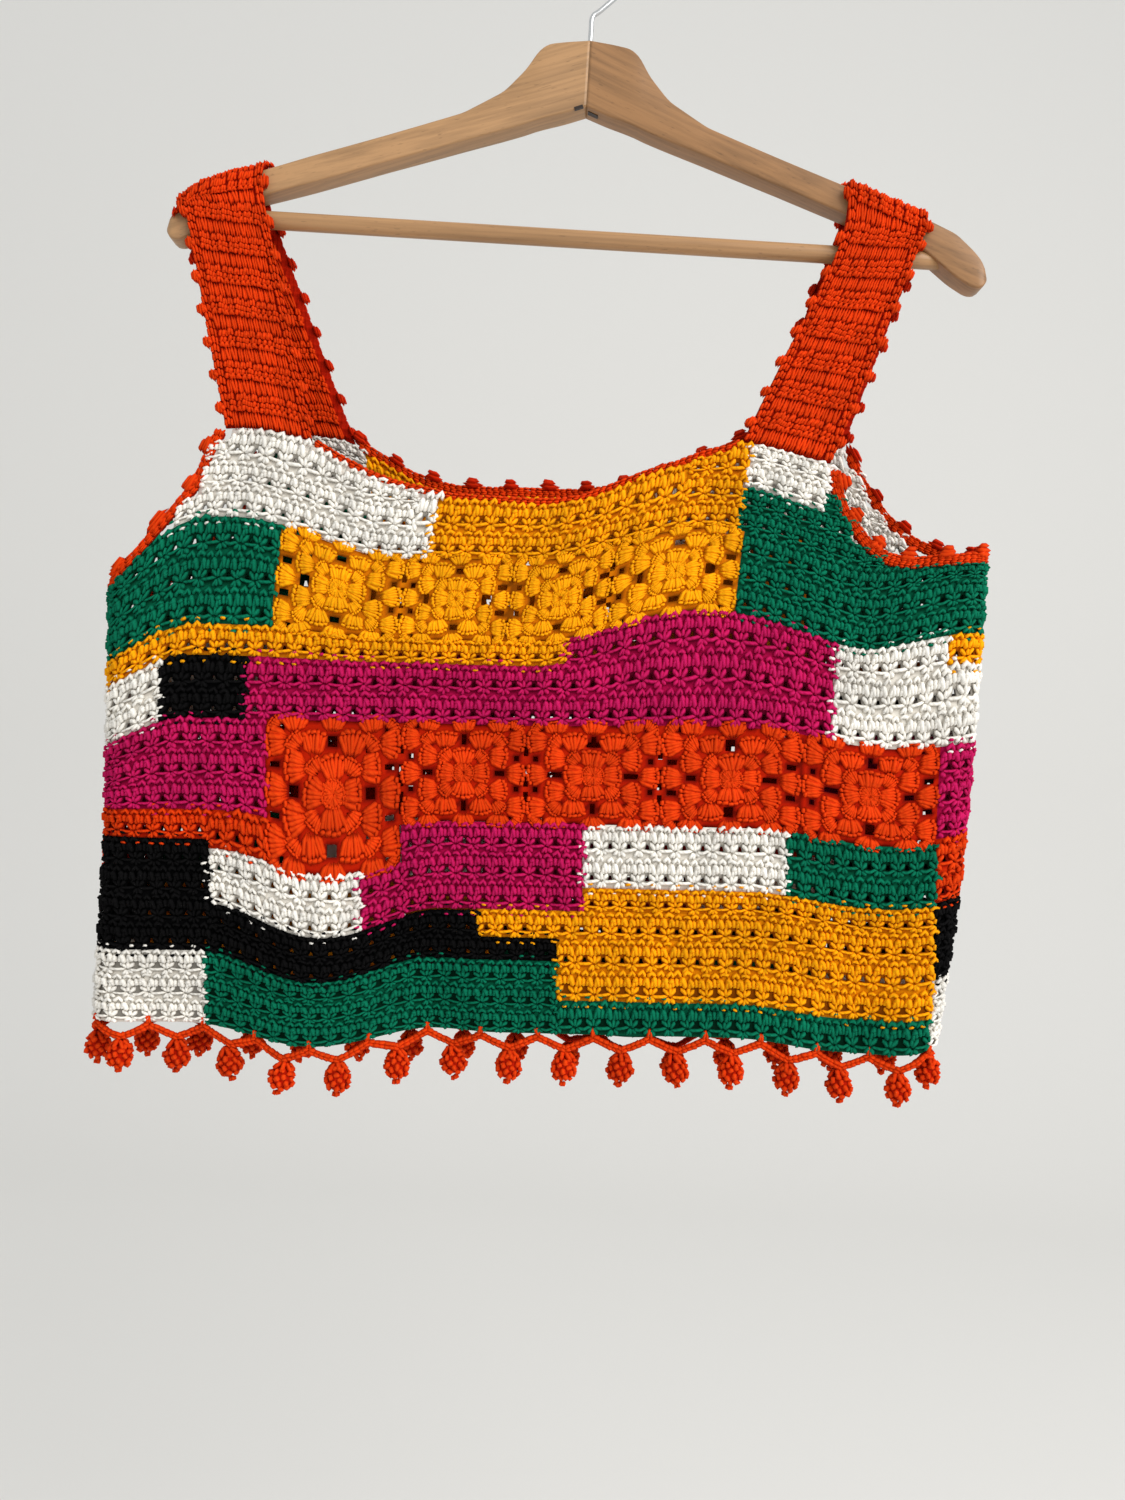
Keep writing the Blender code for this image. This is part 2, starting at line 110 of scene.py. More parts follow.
def runLengths(points):
    return np.concatenate([[0.0], np.cumsum(np.linalg.norm(np.diff(points, axis=0), axis=1))])


def nodeMaker(tree):
    # each input is filled with a value, or joined to another node's output
    def node(kind, inputs=None, **settings):
        made = tree.nodes.new(kind)
        for key, value in settings.items():
            setattr(made, key, value)
        for key, value in (inputs or {}).items():
            if isinstance(value, bpy.types.NodeSocket):
                tree.links.new(value, made.inputs[key])
            else:
                made.inputs[key].default_value = value
        return made

    def maths(operation, *values):
        return node("ShaderNodeMath", dict(enumerate(values)), operation=operation).outputs[0]

    def scaled(vector, size):
        return node("ShaderNodeVectorMath", {0: vector, "Scale": size}, operation="SCALE").outputs[0]

    return node, maths, scaled


def newMaterial(name, values):
    material = bpy.data.materials.new(name)
    material.use_nodes = True
    shader = material.node_tree.nodes["Principled BSDF"]
    for key, value in values.items():
        shader.inputs[key].default_value = value
    return material, shader


view = {"place": (0.0087, -0.637, -0.461), "roll": 3.5, "lens": 27.07, "sensor": 36.0, "nearest": 0.01}
studio = {
    "sky": (0.70, 0.71, 0.70), "skyStrength": 1.04,
    "key": (1.5, -1.5, 0.75), "keyAim": (0.0, 0.0, -0.38), "keySize": 2.0, "keyPower": 51.0,
    "keyColour": (1.0, 0.985, 0.96),
    "floorHeight": -1.4, "floorHalfWidth": 3.0, "floorFront": -3.0, "floorBack": 2.6,
    "bendRadius": 0.9, "bendSteps": 12, "wallHeight": 4.6, "paint": (0.80, 0.79, 0.775),
}


def makeCamera():
    lens = bpy.data.cameras.new("camera")
    lens.lens, lens.sensor_width, lens.clip_start = view["lens"], view["sensor"], view["nearest"]
    roll = math.radians(view["roll"])
    right = Vector((math.cos(roll), 0.0, math.sin(roll)))
    up = Vector((-math.sin(roll), 0.0, math.cos(roll)))
    turned = Matrix((right, up, right.cross(up))).transposed().to_4x4()
    scene.camera = newObject("camera", lens)
    scene.camera.matrix_world = Matrix.Translation(view["place"]) @ turned


def makeLight():
    world = bpy.data.worlds.new("pale room")
    world.use_nodes = True
    background = world.node_tree.nodes["Background"]
    background.inputs["Color"].default_value = (*studio["sky"], 1.0)
    background.inputs["Strength"].default_value = studio["skyStrength"]
    scene.world = world
    window = bpy.data.lights.new("window", "AREA")
    window.size, window.energy, window.color = studio["keySize"], studio["keyPower"], studio["keyColour"]
    lamp = newObject("window", window)
    lamp.location = studio["key"]
    toward = Vector(studio["keyAim"]) - Vector(studio["key"])
    lamp.rotation_euler = toward.to_track_quat("-Z", "Y").to_euler()


def makeFloor():
    low, bend, back, half = (studio[key] for key in ("floorHeight", "bendRadius", "floorBack", "floorHalfWidth"))
    profile = [(studio["floorFront"], low)]
    for step in range(studio["bendSteps"] + 1):
        angle = math.radians(90.0 * step / studio["bendSteps"])
        profile.append((back - bend + bend * math.sin(angle), low + bend - bend * math.cos(angle)))
    profile.append((back, low + studio["wallHeight"]))
    points = [(x, y, z) for y, z in profile for x in (-half, half)]
    faces = [(2 * k, 2 * k + 1, 2 * k + 3, 2 * k + 2) for k in range(len(profile) - 1)]
    paint = newMaterial("floor paint", {"Base Color": (*studio["paint"], 1.0), "Roughness": 0.9})[0]
    newObject("floor", newMesh("floor", points, faces, [paint]))


scene.view_settings.view_transform = "Standard"
makeCamera()
makeLight()
makeFloor()
print("camera, light and floor made")

# the hanging cloth: columns of stitches run round the tube and rows run up it
cloth = {  # millimetres, apart from the columns and rows
    "columns": 48, "column": 10.375, "row": 14.4, "hem": -613.0, "tilt": 0.036, "middle": -15.0, "belly": 0.12,
    # row, centre, half width, half depth, turn of the side seams round the tube
    "sections": ((0, -7.5, 228.5, 17, 18), (2.5, -7.5, 231.5, 17.5, 20), (6, -4, 233, 18, 27),
                 (11.5, -2.5, 234, 18.5, 34), (17, -6, 239, 16.5, 27), (21, -6, 239, 13, 20)),
    # centre, reach, first row, full row, lift
    "frontLifts": ((-172, 95, 12.5, 18.5, 22), (86, 98, 10.5, 15, 20), (-250, 62, 7, 12, -20),
                   (190, 75, 14.5, 11, -8), (235, 70, 11, 15, 12), (-108, 65, 11, 4.5, -16),
                   (-108, 65, 4.5, 0, 8)),
    "backLifts": ((-141, 95, 12, 19, 25), (134, 98, 12, 19, 28), (-250, 62, 7, 12, -20),
                  (235, 70, 11, 15, 12), (60, 80, 9, 3, -9)),
    # place at the hem, lean for each row, reach, first row, full row, depth into the tube
    "frontFolds": ((-50, -5.3, 34, 13, 1, 7), (-112, -2, 52, 9, 2, -9), (175, 0.5, 30, 8, 1, 5),
                   (204, -0.5, 26, 9, 1, -3), (95, 5, 36, 11, 16, 5), (-190, 1, 40, 9, 2, 4)),
    "backFolds": ((70, -3, 50, 12, 2, 7), (10, 2, 40, 10, 2, -6), (-120, 3, 45, 9, 2, 6),
                  (150, 0, 40, 9, 2, -5), (-60, 3, 40, 10, 16, -5)),
    # column, row along the neck and the armholes
    "frontEdge": ((0, 17), (4, 17.1), (5.5, 17.4), (7, 17.9), (8.2, 18.6), (8.5, 19.7), (8.8, 20.7), (13.3, 20.9),
                  (14.6, 20.7), (18.4, 20.2), (21, 19.8), (28, 19.6), (32.8, 20), (35.5, 20.6), (35.8, 20.9),
                  (40.4, 21.1), (40.8, 20.2), (41.3, 19.5), (42.1, 18.9), (43, 18.3), (44.3, 17.75),
                  (45.7, 17.35), (48, 17.1)),
    "backEdge": ((48, 17.1), (50, 17.15), (53, 17.5), (55, 18.1), (56.4, 18.9), (57.4, 19.9), (58.1, 21),
                 (62.7, 21.1), (63.6, 21), (67, 20.9), (72, 20.5), (78, 20.4), (82, 20.5), (84.6, 20.8),
                 (84.8, 20.9), (89.4, 20.8), (89.8, 19.9), (90.3, 18.9), (91.4, 18.1), (93.2, 17.4), (96, 17)),
    # columns and rows that the guide for the stitches covers, and its step
    "guideColumns": (-9.0, 99.01), "guideRows": (-1.5, 22.6), "guideStep": 0.25,
}
columnWidth, rowHeight = cloth["column"] * mm, cloth["row"] * mm
edgeTable = np.array(cloth["frontEdge"] + cloth["backEdge"][1:], float)


def rise(value, start, full):
    share = np.clip((value - start) / (full - start), 0.0, 1.0)
    return share * share * (3.0 - 2.0 * share)


def bell(distance, reach):
    return 0.5 + 0.5 * np.cos(np.pi * np.clip(np.abs(distance) / reach, 0.0, 1.0))


def placeCloth(column, row):
    # the middle surface: a flat tube with round sides, then its lifts and folds
    column, row = np.asarray(column, float), np.asarray(row, float)
    table = np.array(cloth["sections"], float)
    centre, halfWidth, halfDepth, turn = (np.polyval(np.polyfit(table[:, 0], table[:, k], 3), row) for k in range(1, 5))
    quarter = np.pi * halfDepth / 2.0
    straight = 2.0 * (halfWidth - halfDepth)
    half = 2.0 * quarter + straight
    along = column / cloth["columns"] * half - turn
    side = np.floor(along / half)
    along = along - side * half
    facing = np.where(side % 2 == 0, 1.0, -1.0)
    leftTurn = np.clip(along, 0.0, quarter) / halfDepth
    rightTurn = np.clip(along - quarter - straight, 0.0, quarter) / halfDepth
    flatEnd = halfWidth - halfDepth
    x = np.where(along > quarter + straight, flatEnd + halfDepth * np.sin(rightTurn), along - quarter - flatEnd)
    x = np.where(along < quarter, -flatEnd - halfDepth * np.cos(leftTurn), x) * facing
    y = np.where(along > quarter + straight, -halfDepth * np.cos(rightTurn), -halfDepth)
    y = np.where(along < quarter, -halfDepth * np.sin(leftTurn), y) * facing
    front = rise(-y / halfDepth, -1.0, 1.0)
    placeX = centre + x
    placeY = cloth["middle"] + y * (1.0 + cloth["belly"] * np.cos(np.pi * x / (2.0 * halfWidth)))
    placeZ = cloth["hem"] + cloth["tilt"] * placeX + cloth["row"] * row
    for lifts, folds, share, inward in ((cloth["frontLifts"], cloth["frontFolds"], front, 1.0),
                                        (cloth["backLifts"], cloth["backFolds"], 1.0 - front, -1.0)):
        for middle, reach, start, full, lift in lifts:
            placeZ = placeZ + share * lift * bell(placeX - centre - middle, reach) * rise(row, start, full)
        for foot, lean, reach, start, full, depth in folds:
            fold = share * depth * bell(placeX - foot - lean * row, reach) * rise(row, start, full)
            placeY = placeY + inward * fold
    return np.stack([placeX, placeY, placeZ], axis=-1) * mm


def clothNormal(column, row):
    step = 0.05
    across = placeCloth(column + step, row) - placeCloth(column - step, row)
    return unit(np.cross(across, placeCloth(column, row + step) - placeCloth(column, row - step)))


def topEdge(column):
    return np.interp(np.asarray(column, float) % (2 * cloth["columns"]), edgeTable[:, 0], edgeTable[:, 1])


helpers = []  # stitches to copy and surfaces to lay them on, removed at the end
wobble = {"sideways": 0.30, "height": 0.14, "wholeStrand": 0.22, "thin": 0.9, "thick": 1.1}


def strandMesh(name, strands, fromAxis=False):
    # closed four-sided strands with pointed ends, each (points in millimetres, radius)
    verts, faces, plies, crest = [], [], [], []
    for path, radius in strands:
        path = np.array(path, float)
        if len(path) == 3:  # a short strand bulges in its middle
            a, b, c = path
            path = np.array([a, a + 0.5 * (b - a), b + 0.5 * (c - b), c])
            if not fromAxis:
                path[1:3, 2] = b[2]
        crown = path * (1.0, 1.0, 0.0) if fromAxis else (0.0, 0.0, 1.0)
        run = unit(np.gradient(path, axis=0))
        side = np.cross(run, crown)
        side /= np.maximum(np.linalg.norm(side, axis=1, keepdims=True), 1e-6)
        up = np.cross(side, run)
        lengths = runLengths(path)
        first, last = len(verts), len(path) - 1
        for k, point in enumerate(path):
            # each point's shade height sets painted shade and painted highlight: 0 on the underside, 0.5 on the flanks,
            # 0.4 at the pointed ends, 1 on the crown
            ring = [(0, 0, 0.4)] if k in (0, last) else [(1, 0, 0.5), (0, 1, 1.0), (-1, 0, 0.5), (0, -1, 0.0)]
            for c, s, height in ring:
                verts.append((point + (side[k] * c + up[k] * s) * radius) * mm)
                plies.append((lengths[k], c, s))
                crest.append(height)
        for q in range(4):
            a, b = first + 1 + q, first + 1 + (q + 1) % 4
            faces.append((first, b, a))
            faces += [(a + 4 * k, b + 4 * k, b + 4 * k + 4, a + 4 * k + 4) for k in range(last - 2)]
            faces.append((a + 4 * (last - 2), b + 4 * (last - 2), len(verts) - 1))
    mesh = newMesh(name, verts, faces)
    store(mesh, "yarn", "FLOAT_VECTOR", np.array(plies, float))
    store(mesh, "crest", "FLOAT", np.array(crest, float))
    return mesh


def motifs(name, strands, seed, fromAxis=False, spread=1.0):
    # three versions of a stitch, each strand bent a little its own way
    made = []
    for version in range(3):
        chance = np.random.default_rng(seed + version)
        bent = []
        for path, radius in strands:
            path = np.array(path, float)
            path[:, :2] += spread * chance.normal(0.0, wobble["sideways"], path[:, :2].shape)
            path[:, 2] += spread * (chance.normal(0.0, wobble["height"], len(path))
                                    + chance.normal(0.0, wobble["wholeStrand"]))
            bent.append((path, radius * chance.uniform(wobble["thin"], wobble["thick"])))
        mesh = strandMesh(f"{name} {version}", bent, fromAxis)
        reshape(mesh, faceOutwards)
        made.append(newObject(mesh.name, mesh))
    helpers.extend(made)
    return made


def guideSurface(name, points, plan, out):
    wide, high = points.shape[:2]
    index = np.arange(wide * high).reshape(wide, high)
    faces = np.stack([index[:-1, :-1], index[1:, :-1], index[1:, 1:], index[:-1, 1:]], axis=-1).reshape(-1, 4)
    mesh = newMesh(name, points.reshape(-1, 3), faces.tolist())
    store(mesh, "plan", "FLOAT_VECTOR", plan.astype(float))
    store(mesh, "out", "FLOAT_VECTOR", out.astype(float))
    helpers.append(newObject(name, mesh))
    return helpers[-1]


def clothGuide():
    column, row = np.meshgrid(np.arange(*cloth["guideColumns"], cloth["guideStep"]),
                              np.arange(*cloth["guideRows"], cloth["guideStep"]), indexing="ij")
    plan = np.stack([column * columnWidth, row * rowHeight, 0.0 * column], axis=-1)
    return guideSurface("cloth guide", placeCloth(column, row), plan, clothNormal(column, row))


def newTree(name, inputs, output):
    tree = bpy.data.node_groups.new(name, "GeometryNodeTree")
    for label, kind in inputs.items():
        tree.interface.new_socket(name=label, in_out="INPUT", socket_type="NodeSocket" + kind)
    tree.interface.new_socket(name=output, in_out="OUTPUT", socket_type="NodeSocketGeometry")
    return tree


def stitchTree():
    # stitches stand on flat plan points, are made real, then move onto the guide with their height along its normal
    tree = newTree("stitches on a surface", {
        "Plan points": "Geometry", "Stitch A": "Object", "Stitch B": "Object", "Stitch C": "Object",
        "Guide": "Object", "Lift": "Float", "Turn spread": "Float", "Size spread": "Float", "Seed": "Int",
        "Yarn": "Material"}, "Stitches")
    node, maths, scaled = nodeMaker(tree)
    given = node("NodeGroupInput").outputs

    def named(label, kind):
        return node("GeometryNodeInputNamedAttribute", {"Name": label}, data_type=kind).outputs["Attribute"]

    def chance(seedStep, low, high):
        seed = node("FunctionNodeIntegerMath", {0: given["Seed"], 1: seedStep}, operation="ADD").outputs[0]
        return node("FunctionNodeRandomValue", {2: low, 3: high, "Seed": seed}, data_type="FLOAT").outputs[1]

    def eitherWay(amount, seedStep):
        return chance(seedStep, maths("MULTIPLY", amount, -1.0), amount)

    joined = node("GeometryNodeJoinGeometry")
    for name in ("Stitch C", "Stitch B", "Stitch A"):
        info = node("GeometryNodeObjectInfo", {"As Instance": True, "Object": given[name]})
        tree.links.new(info.outputs["Geometry"], joined.inputs["Geometry"])
    toned = node("GeometryNodeStoreNamedAttribute", {
        "Name": "tone", "Geometry": given["Plan points"], "Value": chance(11, 0.0, 1.0)},
        data_type="FLOAT", domain="POINT")
    turned = maths("ADD", named("turn", "FLOAT"), eitherWay(given["Turn spread"], 23))
    angles = node("ShaderNodeCombineXYZ", {"Y": named("flip", "FLOAT"), "Z": turned})
    grown = maths("ADD", 1.0, eitherWay(given["Size spread"], 37))
    spots = node("GeometryNodeInstanceOnPoints", {
        "Pick Instance": True, "Points": toned.outputs["Geometry"], "Instance": joined.outputs["Geometry"],
        "Instance Index": named("version", "INT"), "Rotation": angles.outputs[0],
        "Scale": scaled(named("size", "FLOAT_VECTOR"), grown)})
    real = node("GeometryNodeRealizeInstances", {"Geometry": spots.outputs["Instances"]})

    place = node("GeometryNodeInputPosition").outputs[0]
    parts = node("ShaderNodeSeparateXYZ", {0: place}).outputs
    flat = node("ShaderNodeCombineXYZ", {"X": parts["X"], "Y": parts["Y"]}).outputs[0]
    surface = node("GeometryNodeObjectInfo", {"Object": given["Guide"]}).outputs["Geometry"]
    foot, out = (node("GeometryNodeSampleUVSurface", {
        "Mesh": surface, "Value": value, "Source UV Map": named("plan", "FLOAT_VECTOR"), "Sample UV": flat},
        data_type="FLOAT_VECTOR").outputs["Value"] for value in (place, named("out", "FLOAT_VECTOR")))
    raised = scaled(out, maths("ADD", parts["Z"], given["Lift"]))
    there = node("ShaderNodeVectorMath", {0: foot, 1: raised}, operation="ADD").outputs[0]
    moved = node("GeometryNodeSetPosition", {"Geometry": real.outputs["Geometry"], "Position": there})
    done = node("GeometryNodeSetMaterial", {"Geometry": moved.outputs["Geometry"], "Material": given["Yarn"]})
    node("NodeGroupOutput", {"Stitches": done.outputs["Geometry"]})
    return tree


def pointTree():
    # things hung at points in space, each turned by its own angles
    tree = newTree("things at points", {"Points": "Geometry", "Thing": "Object", "Seed": "Int", "Finish": "Material"},
                   "Things")
    node = nodeMaker(tree)[0]
    given = node("NodeGroupInput").outputs
    thing = node("GeometryNodeObjectInfo", {"As Instance": True, "Object": given["Thing"]})
    chance = node("FunctionNodeRandomValue", {"Seed": given["Seed"]}).outputs[1]
    angles = node("GeometryNodeInputNamedAttribute", {"Name": "angles"}, data_type="FLOAT_VECTOR")
    toned = node("GeometryNodeStoreNamedAttribute", {"Name": "tone", "Geometry": given["Points"], "Value": chance})
    spots = node("GeometryNodeInstanceOnPoints", {
        "Points": toned.outputs["Geometry"], "Instance": thing.outputs["Geometry"],
        "Rotation": angles.outputs["Attribute"]})
    real = node("GeometryNodeRealizeInstances", {"Geometry": spots.outputs["Instances"]})
    done = node("GeometryNodeSetMaterial", {"Geometry": real.outputs["Geometry"], "Material": given["Finish"]})
    node("NodeGroupOutput", {"Things": done.outputs["Geometry"]})
    return tree


def settle(mesh, tree, values):
    # the modifier gets its inputs, its result is kept as a plain mesh and the modifier goes
    made = newObject(mesh.name, mesh)
    modifier = made.modifiers.new("work", "NODES")
    modifier.node_group = tree
    for item in tree.interface.items_tree:
        if item.item_type == "SOCKET" and item.in_out == "INPUT" and item.name in values:
            modifier[item.identifier] = values[item.name]
    graph = bpy.context.evaluated_depsgraph_get()
    result = bpy.data.meshes.new_from_object(made.evaluated_get(graph), preserve_all_data_layers=True, depsgraph=graph)
    made.modifiers.clear()
    made.data = result
    result.name = made.name
    for label in ("turn", "flip", "size", "version", "angles"):
        if label in result.attributes:
            result.attributes.remove(result.attributes[label])
    return made


def stitch(name, spots, stitches, guide, finish, lift=0.0, turnSpread=0.05, sizeSpread=0.04, seed=1):
    # spots are (x, y, turn, flip, width, height, depth) on the plan, in metres and radians
    spots = np.array(spots, float)
    chance = np.random.default_rng(seed)
    mesh = newPoints(name, spots[:, :3] * (1.0, 1.0, 0.0))
    store(mesh, "turn", "FLOAT", spots[:, 2])
    store(mesh, "flip", "FLOAT", spots[:, 3])
    store(mesh, "size", "FLOAT_VECTOR", spots[:, 4:7])
    store(mesh, "version", "INT", chance.integers(0, len(stitches), len(spots)).astype(np.int32))
    return settle(mesh, onSurface, {
        "Stitch A": stitches[0], "Stitch B": stitches[1], "Stitch C": stitches[2], "Guide": guide, "Lift": lift,
        "Turn spread": turnSpread, "Size spread": sizeSpread, "Seed": seed, "Yarn": finish})


def hang(name, places, angles, thing, finish, seed):
    mesh = newPoints(name, places)
    store(mesh, "angles", "FLOAT_VECTOR", np.array(angles, float))
    return settle(mesh, atPoints, {"Thing": thing, "Seed": seed, "Finish": finish})


def thinWall(name, middle, out, faces, materials, shadeLevels, thickness, colours=None):
    # outer skin, inner skin and rims round every open edge
    half, count = 0.5 * thickness * mm, len(middle)
    colours = colours or [0] * len(faces)
    rims = {}
    for k, face in enumerate(faces):
        for a, b in zip(face, face[1:] + face[:1]):
            rims.setdefault((min(a, b), max(a, b)), []).append((a, b, k))
    skins, indices = [], []
    for face, colour in zip(faces, colours):
        skins += [face, tuple(count + v for v in reversed(face))]
        indices += [colour] * 2
    for uses in rims.values():
        if len(uses) == 1:
            a, b, k = uses[0]
            skins.append((b, a, count + a, count + b))
            indices.append(colours[k])
    mesh = newMesh(name, np.concatenate([middle + out * half, middle - out * half]), skins, materials)
    mesh.polygons.foreach_set("material_index", np.array(indices, np.int32))
    # the given levels become the shade height, which sets the painted shade of the yarn colour
    store(mesh, "crest", "FLOAT", np.tile(np.array(shadeLevels, float), 2))
    store(mesh, "tone", "FLOAT", np.full(2 * count, 0.5))
    store(mesh, "yarn", "FLOAT_VECTOR", np.zeros((2 * count, 3)))
    reshape(mesh, lambda shape: bmesh.ops.delete(
        shape, geom=[v for v in shape.verts if not v.link_faces], context="VERTS"))
    return newObject(name, mesh)


def clothWall(name, flat, faces, materials, shadeLevels, thickness, colours=None, lift=0.0):
    out = clothNormal(flat[:, 0], flat[:, 1])
    middle = placeCloth(flat[:, 0], flat[:, 1]) + out * lift * mm
    return thinWall(name, middle, out, faces, materials, shadeLevels, thickness, colours)


onSurface = stitchTree()
atPoints = pointTree()
wholeCloth = clothGuide()

yarns = {  # painted shade down between the strands, colour of a strand, painted highlight on its crown
    "white": ((0.66, 0.61, 0.54), (0.83, 0.79, 0.72), (0.92, 0.89, 0.84)),
    "yellow": ((0.54, 0.130, 0.0005), (0.80, 0.270, 0.001), (0.93, 0.400, 0.004)),
    "orange": ((0.39, 0.008, 0.0005), (0.57, 0.023, 0.001), (0.73, 0.054, 0.004)),
    "magenta": ((0.20, 0.001, 0.026), (0.41, 0.003, 0.060), (0.55, 0.012, 0.115)),
    "green": ((0.0005, 0.045, 0.020), (0.001, 0.105, 0.052), (0.003, 0.17, 0.092)),
    "black": ((0.0006, 0.0006, 0.0008), (0.0016, 0.0015, 0.0018), (0.0045, 0.0042, 0.0045)),
}
# the gap factor scales the shade colour down to the deepest painted shade, used at hole rims and closed holes
yarnFinish = {
    "roughness": 0.9, "specular": 0.06, "cloud": 26.0, "cloudShare": 0.30, "toneShare": 0.22, "brightness": 0.72,
    "fibre": 2600.0, "fibreShare": 0.5, "fibreHeight": 0.05, "ply": 2.4, "plyHeight": 0.16, "deepestShade": 0.38,
}


def colourRamp(node, factor, stops):
    made = node("ShaderNodeValToRGB", {"Fac": factor})
    marks = made.color_ramp.elements
    marks[0].position, marks[1].position = stops[0][0], stops[-1][0]
    for place, colour in stops[1:-1]:
        marks.new(place)
    for mark, (place, colour) in zip(marks, stops):
        mark.color = (*colour, 1.0)
    return made.outputs["Color"]


def bumped(node, height, distance, strength=1.0, before=None):
    inputs = {"Distance": distance, "Strength": strength, "Height": height}
    if before:
        inputs["Normal"] = before
    return node("ShaderNodeBump", inputs).outputs["Normal"]


def yarnMaterial(name, colours, ribs=None):
    # colour rises from painted shade in the gap to a painted highlight on the crown of each strand, with a random tone
    # for each stitch and a slow cloud over all
    gapShadeColour, main, crown = colours
    material, shader = newMaterial(name, {"Roughness": yarnFinish["roughness"], "Metallic": 0.0,
                                          "Specular IOR Level": yarnFinish["specular"]})
    tree = material.node_tree
    node, maths, scaled = nodeMaker(tree)
    crest, tone = (node("ShaderNodeAttribute", attribute_name=label).outputs["Fac"] for label in ("crest", "tone"))
    place = node("ShaderNodeTexCoord").outputs["Object"]
    cloud, fibre = (node("ShaderNodeTexNoise", {"Vector": place, "Scale": scale, "Detail": detail}).outputs["Fac"]
                    for scale, detail in ((yarnFinish["cloud"], 3.0), (yarnFinish["fibre"], 2.0)))
    share = yarnFinish["fibreShare"]
    height = maths("ADD", crest, maths("MULTIPLY_ADD", fibre, share, -0.5 * share))
    # the ramp runs from the deepest painted shade, through the gap shade and the strand's colour, to the painted
    # highlight
    colour = colourRamp(node, maths("MULTIPLY_ADD", height, 0.68, 0.32), (
        (0.0, tuple(yarnFinish["deepestShade"] * c for c in gapShadeColour)), (0.32, gapShadeColour), (0.62, main), (1.0, crown)))
    shade = maths("MULTIPLY_ADD", tone, yarnFinish["toneShare"], yarnFinish["brightness"])
    colour = scaled(colour, maths("MULTIPLY_ADD", cloud, yarnFinish["cloudShare"], shade))

    # the twist of the plies is a wave that climbs round each strand as it goes along it
    strand = node("ShaderNodeAttribute", attribute_name="yarn").outputs["Vector"]
    parts = node("ShaderNodeSeparateXYZ", {0: strand}).outputs
    along = maths("MULTIPLY", parts["X"], yarnFinish["ply"])
    twist = maths("ADD", maths("MULTIPLY", maths("SINE", along), parts["Y"]),
                  maths("MULTIPLY", maths("COSINE", along), parts["Z"]))
    normal = bumped(node, twist, yarnFinish["plyHeight"] * mm, 0.8)
    normal = bumped(node, fibre, yarnFinish["fibreHeight"] * mm, 0.6, normal)
    if ribs:  # rows and posts as soft ribs, with painted shade in the grooves between them, for a side that carries no stitches
        rows, posts = (node("ShaderNodeTexWave", {
            "Vector": place, "Scale": math.pi / 10.0 / (step * mm), "Distortion": wander, "Detail Scale": 2.0},
            bands_direction=way).outputs["Fac"] for way, step, wander in ribs["waves"])
        both = maths("MULTIPLY_ADD", posts, 0.5, rows)
        dark = node("ShaderNodeMapRange", {"From Max": 1.5, "To Min": ribs["darkest"], "Value": both})
        colour = scaled(colour, dark.outputs["Result"])
        normal = bumped(node, both, ribs["height"] * mm, before=normal)
    tree.links.new(colour, shader.inputs["Base Color"])
    tree.links.new(normal, shader.inputs["Normal"])
    return material


yarn = {colour: yarnMaterial(colour + " yarn", colours) for colour, colours in yarns.items()}
print("yarn finishes made")

body = {  # colour, first column, last column, first row, last row or 22 for up to the edge
    "blocks": (
        ("white", 0, 9.1, 0, 2.7), ("green", 9.1, 28, 0, 2.7), ("green", 28, 48, 0, 1.25),
        ("black", 3, 9.7, 2.7, 6.9), ("black", 0, 3, 2.7, 5.6), ("orange", 0, 3, 5.6, 8.0),
        ("orange", 3, 9.7, 6.9, 8.0), ("orange", 9.7, 12.8, 6.55, 8.0), ("black", 9.7, 23.8, 2.7, 4.5),
        ("black", 23.8, 28, 2.7, 3.55), ("white", 9.7, 17.7, 4.5, 6.55), ("magenta", 17.7, 19.9, 4.5, 6.5),
        ("magenta", 19.9, 29.4, 4.58, 7.8), ("white", 29.4, 40.1, 5.45, 7.8), ("green", 40.1, 48, 5.45, 7.8),
        ("yellow", 28, 48, 1.25, 3.55), ("yellow", 23.8, 48, 3.55, 4.58), ("yellow", 29.4, 48, 4.58, 5.45),
        ("magenta", 0, 12.8, 8.0, 11.4), ("white", 0, 7.2, 11.4, 13.6), ("black", 7.2, 11.7, 11.4, 13.6),
        ("magenta", 11.7, 28.2, 11.4, 13.6), ("magenta", 28.2, 42.2, 11.4, 14.5), ("white", 42.2, 48, 11.4, 14.5),
        ("yellow", 0, 28.2, 13.6, 14.5), ("green", 0, 12.8, 14.5, 17.5), ("green", 36.8, 48, 14.5, 17.55),
        ("green", 36.3, 48, 17.55, 19.2), ("green", 40.5, 48, 19.2, 22), ("white", 36.3, 40.5, 19.2, 22),
        ("white", 0, 20.4, 17.5, 22), ("yellow", 20.4, 36.3, 17.55, 22)),
    # the ground's level, the level at an open hole's rim and the level where a low hole is closed are painted shade
    # levels, the last a painted dark spot
    "holeHeight": 0.34, "thickness": 1.3, "groundShade": 0.42, "closedBelow": 1.9, "rimShade": -0.5,
    "closedShade": -1.0, "insideAbove": 16.0, "topRow": 20.2, "turnSpread": 0.09, "sizeSpread": 0.06,
    # share of a cell where the pierced ground's lines run, and how far the hole's top corners draw in
    "columnLines": (0.0, 0.37, 0.63, 1.0), "rowLines": (0.0, 0.25, 0.41, 0.72, 1.0), "drawnIn": 0.07,
}
